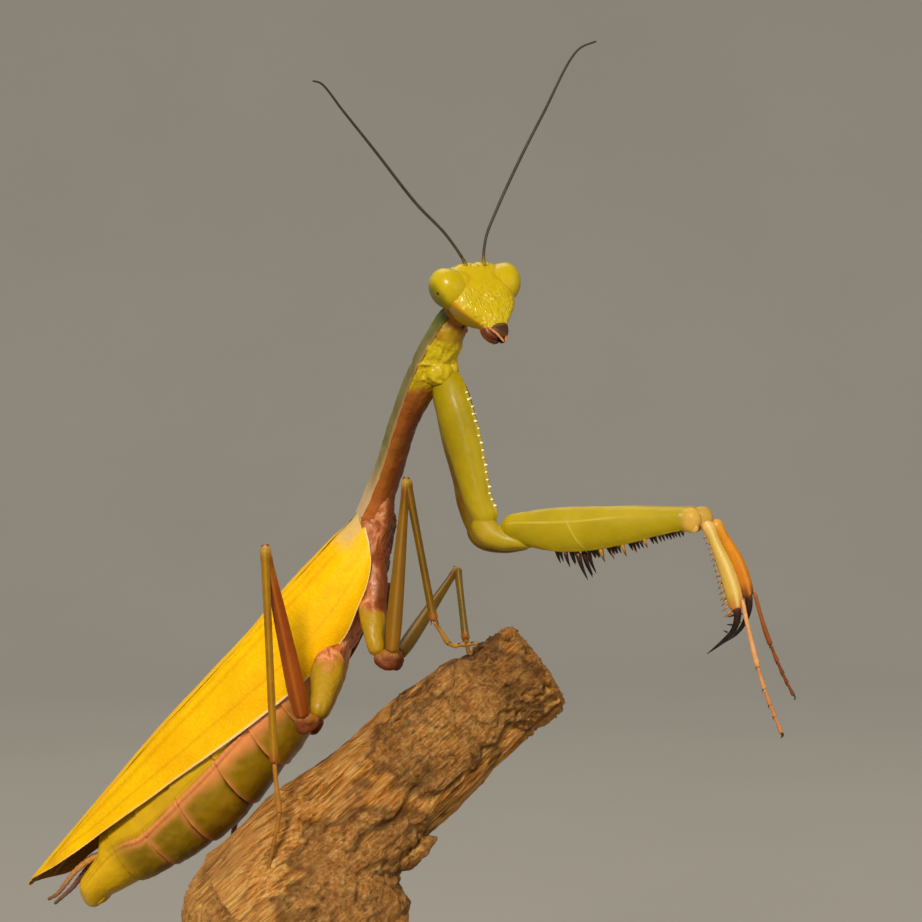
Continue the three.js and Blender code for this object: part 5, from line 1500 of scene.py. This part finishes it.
def make_front_shin(side, spec):
    """The shin that folds against the thigh, with its two combs and its great end claw."""
    path = Path(spec["tibia"])
    deg = math.radians
    across = profile((0, 0.6), (0.1, 0.6), (0.2, 0.54), (0.275, 0.55), (0.42, 0.66), (0.555, 0.74),
                     (0.75, 0.8), (0.9, 0.74), (1, 0.55))
    deep = profile((0, 0.5), (0.3, 0.58), (0.8, 0.56), (1, 0.45))

    def relief(t, angle):
        line = 0.06 * hill(angle, deg(150), 0.16) * ease(0.1, 0.3, t)
        return (0.06 * hill(angle, deg(92), 0.2) - line - 0.1 * hill(angle, deg(270), 0.22)
                + 0.02 * rough(barrel(t, angle, 9.1, 1.3), 3, 3))

    def marks(u, v, points):
        angle = np.degrees(TURN * v)
        return (hill(angle, 270, 30) * 0.6, ease(0.8, 1, u), ease(0.16, 0.04, u),
                0.6 * hill(angle, 150, 14))

    piece = Piece()
    piece.limb(path, spec["across"], across, deep, 130, 70, 0.08, 0.06, relief, marks=marks)
    claw = Path(spec["claw"])
    piece.limb(claw, spec["across"], ((0, 0.5), (0.2, 0.38), (0.5, 0.26), (0.75, 0.17), (1, 0.03)),
               ((0, 0.4), (0.4, 0.3), (1, 0.03)), 80, 30, 0.1, 0.01,
               relief=lambda t, a: -0.05 * hill(np.cos(a), 0, 0.25) * (np.sin(a) > 0), finish=1)
    for row, count in ((-0.34, 15), (0.3, 11)):
        for i in range(count):
            t = 0.14 + 0.84 * i / (count - 1)
            centre, along, aside, above = path.axes(t, spec["across"])
            length = mix(0.32, 0.85, (i / (count - 1)) ** 1.4)
            root = centre - aside * (across(t) - 0.12) + above * row
            tip = root - aside * (length + 0.1) * 0.86 + along * (length + 0.05) * 0.62 + above * row * 0.25
            piece.spine(root, tip, 0.12 + 0.02 * length, 2, steps=6, sides=6)
    for t, length in ((0.18, 0.7), (0.36, 0.6), (0.52, 0.5)):
        centre, along, aside, above = claw.axes(t, spec["across"])
        root = centre - aside * 0.3
        piece.spine(root, root - aside * length + along * 0.35 * length, 0.13, 1)
    if side == "right":
        blade = cuticle("shin_yellow", (206, 168, 80), (190, 146, 56), length=(
                        (0, (204, 150, 70)), (0.12, (206, 170, 78)), (0.8, (208, 166, 74)),
                        (1, (176, 110, 36))), tints=((206, 150, 60), (190, 122, 40),
                        (222, 172, 90), (236, 212, 134)), patch=500, amount=0.4)
    else:
        blade = cuticle("shin_orange", (214, 132, 12), (190, 104, 8), length=(
                        (0, (206, 140, 30)), (0.3, (216, 136, 12)), (0.8, (200, 112, 10)),
                        (1, (110, 48, 12))), tints=((170, 88, 10), (120, 56, 12),
                        (210, 150, 50), (222, 150, 36)), patch=500, amount=0.4)
    claw_black = cuticle(f"claw_black_{side}", (34, 18, 12), (18, 10, 8), length=(
                         (0, (130, 70, 22)), (0.14, (70, 34, 14)), (0.34, (30, 16, 10)),
                         (1, (12, 8, 6))), patch=1500, gloss=(0.28, 0.42), coat=0.12)
    comb = cuticle(f"shin_comb_{side}", (206, 160, 70), (174, 114, 40), length=(
                   (0, (206, 166, 74)), (0.45, (190, 134, 50)), (0.7, (84, 40, 14)),
                   (1, (20, 12, 8))), patch=2000, gloss=(0.28, 0.42))
    piece.finish(f"front_shin_{side}", "fore_tibia", [f"fore_tibia_{side}"], blade, claw_black, comb)


# ---------------------------------------------------------------- feet
FOOT_JOINTS = (0, 0.5, 0.66, 0.78, 0.87, 1)


def make_foot(piece, points, up, radius, joints=FOOT_JOINTS):
    """A foot of five joints, each widening to a soft pad, with two curved claws."""
    path = Path(points)
    span = np.array(joints)

    def size(t):
        i = np.clip(np.searchsorted(span, t, side="right") - 1, 0, len(span) - 2)
        x = (t - span[i]) / (span[i + 1] - span[i])
        pad = (0.62 + 0.3 * ease(0.35, 0.95, x) + 0.08 * (i == 0)) * (1 - 0.45 * hill(x, 0, 0.05))
        end = np.sqrt(1 - np.clip((x - 0.965) / 0.035, 0, 0.93) ** 2)
        return radius * pad * end * mix(1.05, 0.8, t)

    piece.limb(path, up, size, lambda t: 0.9 * size(t), 230, 20, 0.01, 0.02)
    for end in joints[1:5]:
        centre, along, aside, above = path.axes(end - 0.012, up)
        for sign in (1, -1):
            root = centre + above * sign * radius * 0.5 - aside * radius * 0.35
            tip = root + along * 0.42 + above * sign * 0.1 - aside * 0.12
            piece.spine(root, tip, 0.07, 1, steps=4, sides=5)
    centre, along, aside, above = path.axes(0.985, up)
    for sign in (1, -1):
        points = [centre, centre + along * 0.32 + above * sign * 0.22 + aside * 0.05,
                  centre + along * 0.6 + above * sign * 0.34 - aside * 0.16]
        taper = ((0, 0.11), (0.6, 0.075), (1, 0.012))
        piece.limb(points, up, taper, taper, 16, 10, 0.08, 0.03, finish=1)


def foot_paint(name, pale, dark):
    """The paints of a foot's joints and of its claws."""
    joints = cuticle(f"{name}_joints", pale, dark, length=((0, pale), (0.46, pale), (0.52, dark),
                     (0.64, pale), (0.68, dark), (0.8, dark), (1, dark)), patch=900, gloss=(0.34, 0.5))
    hook = cuticle(f"{name}_hooks", (70, 40, 24), (40, 24, 16), patch=1500, gloss=(0.24, 0.4))
    return joints, hook


def make_front_foot(side, spec):
    """The long thin foot of a front leg."""
    piece = Piece()
    make_foot(piece, spec["tarsus"], spec["across"], 0.29)
    if side == "right":
        paints = foot_paint("front_foot_right", (220, 160, 100), (194, 124, 66))
    else:
        paints = foot_paint("front_foot_left", (156, 84, 26), (122, 58, 16))
    piece.finish(f"front_foot_{side}", "fore_tarsus", [f"fore_tarsus_{side}"], *paints)


# ---------------------------------------------------------------- walking legs
# Middle of the hip ring, start of the thigh, knee, ankle, end of the first foot joint and toe.
WALKING = {
    "mid_right": (((8.45, -4.65, 55.3), (8.9, -4.8, 54.2), (9.8, -5.0, 54.1), (10.3, -5.1, 55.4)),
                  (9.85, -5.0, 55.2), (11.4, -6, 73.3), (14.2, -5, 58.5), (15.9, -4.2, 55.9),
                  (18.8, -3.6, 56.1)),
    "mid_left": (((9.6, 4.4, 54.6), (9.7, 4.6, 53.6), (10.1, 5.2, 53.2), (10.5, 5.9, 54.2)),
                 (10.4, 5.8, 54.2), (16.6, 18, 63), (17.5, 8.2, 55.7), (18.1, 6.9, 53.2), (19, 6.7, 50.3)),
    "hind_right": (((2.2, -6.4, 48.9), (1.5, -6.5, 47.9), (0.7, -6.8, 47.6), (0.6, -7.0, 49.0)),
                   (0.75, -6.9, 48.8), (-2.6, -13.5, 66.6), (-1.9, -9.8, 44.4), (-1.4, -9.3, 39),
                   (-2.6, -8.7, 33.5)),
    "hind_left": (((1.8, 6.25, 47.6), (1.4, 6.5, 46.5), (1.0, 7.4, 46.0), (0.9, 8.3, 46.4)),
                  (0.9, 8.3, 46.5), (-5.3, 22.5, 54.6), (-7, 10.2, 38.4), (-7.7, 9, 34.8), (-8.8, 8.8, 30.6)),
}
# Colours of each walking leg: thigh, second thigh tone, shin, foot.
LEG_TONES = {
    "mid_right": ((122, 88, 18), (146, 92, 4), (102, 74, 8), (176, 122, 40)),
    "mid_left": ((118, 88, 14), (104, 72, 8), (118, 90, 14), (150, 106, 30)),
    "hind_right": ((158, 72, 2), (130, 52, 0), (164, 118, 10), (178, 118, 40)),
    "hind_left": ((120, 70, 14), (98, 52, 8), (116, 84, 16), (144, 98, 28)),
}


def leg_edges(v):
    """A mask of the four long edges of a leg."""
    return 0.4 * hill(np.cos(4 * TURN * v), 1, 0.3)


def make_hip_ring(name, ring, node):
    """The bent ring between a hip and its thigh, with a soft knob in its bend."""
    piece = Piece()
    girth = ((0, 0.72), (0.33, 0.66), (0.66, 0.62), (1, 0.6))
    piece.limb(ring, (0.7, 0.1, -0.7), girth, girth, 70, 48, 0.25, 0.2)
    middle = np.mean(ring, axis=0)
    piece.bead(middle + (0.05, 0, 0.1), (0.85, 0.72, 0.8), cells=20)
    piece.fuse(0.08, 5)
    height = lambda points: (points - middle)[:, 2] + 0.3 * rough(points, 2, 6)
    piece.crease(lambda points, old: 0.07 * rough(points * 1.4, 3, 2),
                 lambda points, old: stack(0.7 * ease(-0.5, 0.9, height(points)), 0, 0, 0))
    joint = cuticle(f"{name}_ring_skin", (116, 54, 10), (84, 30, 4), tints=((174, 112, 36),),
                    patch=700, gloss=(0.42, 0.56), coat=0.04)
    piece.finish(f"{name}_hip_ring", "leg_joint", [node], joint)


def make_thigh(name, points, up, thick, tones, node):
    """A long thigh with four low keels and a knob on each side of its knee."""
    first, second, shade = tones
    piece = Piece()
    leg = Path(points)
    girth = profile((0, 0.74 * thick), (0.12, 0.92 * thick), (0.5, 0.74 * thick), (0.88, 0.46 * thick),
                    (0.955, 0.5 * thick), (1, 0.44 * thick))
    keels = lambda t, a: 0.035 * np.cos(4 * a) * ease(0.05, 0.2, t) - 0.05 * hill(t, 0.945, 0.008)
    piece.limb(leg, up, girth, girth, 150, 48, 0.025, 0.02, keels,
               marks=lambda u, v, p: (ease(0.93, 0.97, u), 0.5 * ease(0.3, 0.0, u), leg_edges(v),
                                      0.6 * hill(u, 0.9, 0.03)))
    for lean in (-1, 1):
        centre, _, aside, above = leg.axes(0.985, up)
        knob = centre + above * lean * 0.24 * thick + aside * 0.05
        piece.bead(knob, (0.2, 0.24, 0.36), cells=10)
    skin = cuticle(f"{name}_thigh_skin", first, second,
                   length=((0, first), (0.75, first), (0.95, shade), (1, shade)),
                   tints=((176, 136, 50), second, mix(first, linear((214, 160, 60)), 0.4),
                   (130, 62, 18)), patch=380, amount=0.6)
    piece.finish(f"{name}_thigh", "walking_leg", [node], skin)


def make_shin(name, points, up, tones, node):
    """A thin shin with fine hairs, and three spurs at its end."""
    _, second, shade = tones
    piece = Piece()
    calf = Path(points)
    girth = profile((0, 0.4), (0.03, 0.48), (0.08, 0.42), (0.5, 0.36), (0.9, 0.4), (0.97, 0.46),
                    (1, 0.36))
    piece.limb(calf, up, girth, girth, 150, 36, 0.02, 0.015, lambda t, a: 0.025 * np.cos(4 * a),
               marks=lambda u, v, p: (ease(0.92, 0.97, u), ease(0.06, 0, u), leg_edges(v), 0))
    centre, along, aside, above = calf.axes(0.985, up)
    for turn in (0.6, 2.2, 3.9):
        out = aside * math.cos(turn) + above * math.sin(turn)
        piece.spine(centre + out * 0.3, centre + out * 0.6 + along * 0.75, 0.1, 1)
    piece.hairs(calf, up, 26, 0.08, 0.88, 0.34, 0.28, 0.015, 1)
    skin = cuticle(f"{name}_shin_skin", shade, second, tints=((160, 90, 22), (176, 136, 50),
                   mix(shade, linear((214, 170, 60)), 0.4)), patch=420, amount=0.4)
    spur = cuticle(f"{name}_spurs", (160, 100, 34), (110, 60, 20), length=((0, (170, 116, 40)),
                   (0.6, (134, 76, 24)), (1, (40, 20, 10))), patch=1500)
    piece.finish(f"{name}_shin", "walking_leg", [node], skin, spur)


def make_walking_foot(name, ankle, mid, toe, up, pad, node):
    """A foot that grips the branch; mid is the end of its first joint and pad its colour."""
    piece = Piece()
    steps = [ankle, mix(ankle, mid, 0.5), mix(ankle, mid, 0.92), mix(mid, toe, 0.12),
             mix(mid, toe, 0.55), toe]
    make_foot(piece, steps, up, 0.36, (0, 0.46, 0.64, 0.77, 0.87, 1))
    paints = foot_paint(f"{name}_foot", pad, pad * (0.7, 0.7, 0.7, 1))
    piece.finish(f"{name}_foot", "walking_leg", [node], *paints)


def make_walking_leg(name):
    """The hip ring, thigh, shin and foot of a leg the insect stands on."""
    ring, *joints = WALKING[name]
    thigh, knee, ankle, mid, toe = np.array(joints, float)
    place, side = name.split("_")
    node = lambda part: f"{place}_{part}_{side}"
    thick = 1.0 if place == "hind" else 0.86
    up = (1, 0, 0.1 if side == "right" else -0.1)
    *tones, pad = (np.array(linear(colour)) for colour in LEG_TONES[name])
    make_hip_ring(name, ring, node("trochanter"))
    make_thigh(name, [thigh, mix(thigh, knee, 0.5), knee], up, thick, tones, node("femur"))
    shin = [knee + unit(ankle - knee) * 0.15, mix(knee, ankle, 0.5), ankle]
    make_shin(name, shin, up, tones, node("tibia"))
    make_walking_foot(name, ankle, mid, toe, up, pad, node("tarsus"))


# ---------------------------------------------------------------- perch
BRANCH = ((-5.5, 0, 27), (2.6, 0, 34.2), (9, 0, 40.2), (13.3, 0, 44), (18.6, 0, 49), (25.4, 0, 54))
PERCH_FOOT = 18
GRAIN_AXIS = unit(np.array((30.9, 0, 27)))
GRAIN_RISE = np.array((-GRAIN_AXIS[2], 0, GRAIN_AXIS[0]))
branch_half = profile((0, 8.0), (0.2, 7.6), (0.4, 6.9), (0.6, 6.2), (0.8, 5.7), (0.95, 5.2), (1, 4.9))
foot_half = profile((0, 12.6), (0.35, 12.0), (0.6, 11.4), (0.76, 10.1), (0.88, 8.8), (1, 7.2))


def gnarl(t, angle):
    """The uneven roundness of the wood, about 1."""
    return (1 + 0.035 * np.sin(3 * angle + 7 * t) + 0.025 * np.sin(5 * angle - 11 * t + 1)
            + 0.03 * np.sin(17 * t + 2 * angle))


def bark(p):
    """How far the bark stands out at the points p, and its four painted masks."""
    s, n, y = p @ GRAIN_AXIS, p @ GRAIN_RISE, p[:, 1]
    sway = 0.9 * rough(p * 0.16, 2, 61)
    strands = stack(s * 0.14, n * 1.7 + sway, y * 1.7 + 0.6 * sway)
    ribs = creases(strands, 3, 70, 0.6)
    fine = creases(strands * (2.3, 2.4, 2.4), 2, 80, 0.6)
    lumps = rough(p * 0.22, 3, 90)
    # Two patches still carry the outer bark, which is dark, lumpy and cut by cross cracks.
    near = ease(3, -2, y)
    upper = hill(np.hypot((s - 44) / 12, (n - 25.5) / 6.2), 0, 1) * near
    lower = hill(np.hypot((s - 27) / 9.5, (n - 20.5) / 7.5), 0, 1) * near
    ragged = 0.22 * rough(p * 0.45, 4, 12)
    rear = ease(0.3, 0.55, rough(p * 0.14 + 5, 2, 95)) * ease(0, 4, y)
    shape = np.maximum(upper, lower) + ragged
    crust = np.clip(ease(0.5, 0.6, shape) + rear, 0, 1)
    clods = rough(p * 0.9, 3, 99)
    cross = ease(0.35, 0.05, np.abs(rough(p * (0.7, 0.4, 0.7), 2, 77)))
    knot = far_from((13.6, -6.5, 43.4), p)
    swirl = hill(knot, 1.9, 0.5) - 0.9 * hill(knot, 0, 1.0)
    crack = hill(n - 22.6 - 0.5 * np.sin(s * 0.9), 0, 0.35)
    crack = crack * ease(26, 29, s) * ease(39, 36, s) * ease(0, -3, y)
    hole = hill(far_from((0.6, -6.0, 40.9), p, (1, 0.6, 1.5)), 0, 0.9)
    lift = (0.13 * (ribs - 0.7) * (1 - 0.6 * crust) + 0.06 * (fine - 0.6) + 0.25 * lumps
            + crust * (0.35 + 0.24 * clods - 0.2 * cross) + 0.35 * swirl - 0.7 * crack - 1.1 * hole)
    edges = hill(shape, 0.5, 0.065)
    dark = np.clip(ease(0.35, 0.0, ribs) * 0.6 + crack + hole + 0.7 * hill(knot, 0, 1.0) + 0.4 * crust * cross
                   + 0.9 * edges + 0.3 * ease(46, 52, s)
                   + 0.45 * near * ease(25, 28, n) * ease(36, 41, s) * ease(-0.3, 0.5, clods), 0, 1)
    pale = ease(1.0, 1.5, ribs + 0.3 * fine) * (1 - 0.8 * crust) + 0.7 * ease(30, 12, s + 3 * ragged)
    red = ease(0.0, 0.6, rough(p * 0.2 - 9, 3, 33))
    return lift, (pale, dark, crust, red)


def make_perch():
    """One skin over the branch and its sawn foot, then fibres, bark, knot and broken end."""
    piece = Piece()

    def branch(t, angle):
        r = branch_half(t) * gnarl(t, angle) * rounded(t, 0.02, 0.02)
        return r * np.sin(angle), r * np.cos(angle) * mix(1.28, 1.0, ease(0, 0.45, t))

    def foot(t, angle):
        r = gnarl(0.3 * t, angle) * rounded(t, 0.01, 0.12)
        return r * foot_half(t) * np.sin(angle), r * np.minimum(foot_half(t), 10.6) * np.cos(angle)

    piece.tube(Path(BRANCH), (0, 1, 0), branch, 110, 72)
    piece.tube(Path(((0.4, 0, PERCH_FOOT), (0, 0, 24), (-0.6, 0, 36))), (0, 1, 0), foot, 50, 80)
    splinter = ((10.5, -2.0, 33.2), (12.3, -2.6, 34.6), (14.6, -3.0, 35.9))
    piece.limb(splinter, (0, 1, 0), ((0, 1.1), (0.6, 0.55), (1, 0.12)),
               ((0, 2.2), (0.6, 1.1), (1, 0.3)), 30, 24, 0.1, 0.05)
    piece.fuse(0.24, 1)

    def lift(points, old):
        sawn = ease(PERCH_FOOT + 0.05, PERCH_FOOT + 1.4, points[:, 2])
        broken = ease(47.5, 49.5, points @ GRAIN_AXIS + 0.8 * rough(points * 0.5, 2, 4))
        torn = 0.5 * creases(points * (0.5, 0.9, 1.3), 3, 44) - 0.5
        return mix(bark(points)[0], torn, broken) * sawn

    piece.crease(lift, lambda points, old: stack(*bark(points)[1]))
    piece.finish("branch_wood", "bark", ["perch"], make_bark_paint())


def make_bark_paint():
    """Fibres, threads and clouds of the wood, with the bark's painted masks over them."""
    material, nodes, shader = new_material("weathered_wood")
    turned = nodes.add("Mapping", {"Vector": nodes.place(), "Rotation": (0, math.atan2(27, 30.9), 0)})
    fibres = nodes.noise(nodes.stretch(turned, 260, 3400, 3400), 1.0, 7.0, 0.72)
    threads = nodes.noise(nodes.stretch(turned, 600, 8600, 8600), 1.0, 4.0, 0.7)
    cloud = nodes.noise(nodes.place(), 210, 4.0)
    speck = nodes.noise(nodes.place(), 2400, 5.0, 0.7)
    wood = nodes.ramp(fibres, (0.34, (88, 42, 4)), (0.42, (182, 106, 24)), (0.51, (236, 156, 58)),
                      (0.61, (255, 216, 130)))
    wood = nodes.mix(nodes.between(cloud, 0.42, 0.64, 0, 0.4), wood, (176, 104, 32))
    wood = nodes.mix(nodes.between(threads, 0.52, 0.64, 0, 0.6), wood, (96, 50, 12))
    pale, dark, rind, red = nodes.painted()
    crust = nodes.ramp(speck, (0.3, (84, 50, 18)), (0.44, (156, 106, 54)),
                       (0.56, (204, 150, 86)), (0.7, (240, 200, 138)))
    for mask, share, colour in ((red, 0.25, (150, 78, 20)), (pale, 0.4, (228, 172, 104)),
                                (rind, 0.5, crust), (dark, 0.7, (48, 26, 10))):
        wood = nodes.mix(nodes.math("MULTIPLY", mask, share), wood, colour)
    nodes.set(shader["Base Color"], wood)
    nodes.set(shader["Roughness"], nodes.between(fibres, 0.3, 0.7, 0.6, 0.85))
    height = nodes.math("ADD", fibres, nodes.math("MULTIPLY", threads, 0.45))
    grit = nodes.math("MULTIPLY", speck, nodes.math("MULTIPLY", rind, 0.8))
    height = nodes.math("ADD", height, grit)
    bump = nodes.add("Bump", {"Height": height, "Distance": 0.0005, "Strength": 1.0})
    nodes.set(shader["Normal"], bump)
    shader["Specular IOR Level"].default_value = 0.2
    return material


# ---------------------------------------------------------------- stand
BASE_RADIUS = 32


def lathe(outline, segments=128):
    """A turned solid: the outline's points are radius and height, from axis to axis."""
    body = bmesh.new()
    uv = body.loops.layers.uv.new("UVMap")
    verts = [body.verts.new((radius, 0, height)) for radius, height in outline]
    edges = [body.edges.new(pair) for pair in zip(verts, verts[1:])]
    bmesh.ops.spin(body, geom=verts + edges, cent=(0, 0, 0), axis=(0, 0, 1), angle=TURN,
                   steps=segments, use_merge=True)
    bmesh.ops.remove_doubles(body, verts=body.verts, dist=1e-4)
    bmesh.ops.recalc_face_normals(body, faces=body.faces)
    sharp = [edge for edge in body.edges if edge.is_manifold and edge.calc_face_angle() > 0.6]
    bmesh.ops.bevel(body, geom=sharp, offset=0.35, offset_type="OFFSET", segments=4, profile=0.5,
                    affect="EDGES", material=-1)
    for face in body.faces:
        face.smooth = True
        for loop in face.loops:
            loop[uv].uv = loop.vert.co.xy / (2 * BASE_RADIUS) + Vector((0.5, 0.5))
    piece = Piece()
    piece.mesh.free()
    piece.mesh = body
    return piece


def make_stand():
    """The turned base, and the rod that carries the branch."""
    base = ((0, 0), (BASE_RADIUS, 0), (BASE_RADIUS, 4.2), (30.6, 5.1), (30.2, 6), (0, 6))
    rod = ((0, 6.05), (5.4, 6.05), (5.4, 7.5), (4.0, 8.0), (3.0, 9.2), (3.0, 15.6), (4.4, 16.6),
           (4.4, 18.2), (0, 18.2))
    lacquer = cuticle("stand_lacquer", (52, 50, 48), (40, 38, 37), patch=60, pits=2600, swell=0.5,
                      depth=0.00002, gloss=(0.3, 0.44), coat=0.35, coat_rough=0.25)
    lathe(base).finish("stand_base_turned", "stand_base", ["stand_base"], lacquer)
    steel = cuticle("stand_rod_steel", (120, 118, 114), (96, 94, 92), patch=300, pits=9000, swell=0.3,
                    depth=0.000006, gloss=(0.26, 0.38), coat=0.0)
    steel.node_tree.nodes["Principled BSDF"].inputs["Metallic"].default_value = 0.9
    lathe(rod, 64).finish("stand_rod_turned", "stand_rod", ["stand_rod"], steel)


# ---------------------------------------------------------------- the whole model
make_camera()
make_studio()
light_studio()
make_thorax()
make_abdomen()
for side, name in ((1, "right"), (-1, "left")):
    make_tegmen(side, name)
    make_hind_wing(side, name)
    make_cercus(side, name)
make_pronotum()
make_front_body()
make_head()
make_mouth()
for name, side in (("right", -1), ("left", 1)):
    make_eye(side, name)
    make_feeler(name)
for side, spec in FORELEGS.items():
    make_front_leg(side, spec)
    make_front_shin(side, spec)
    make_front_foot(side, spec)
for name in WALKING:
    make_walking_leg(name)
make_perch()
make_stand()
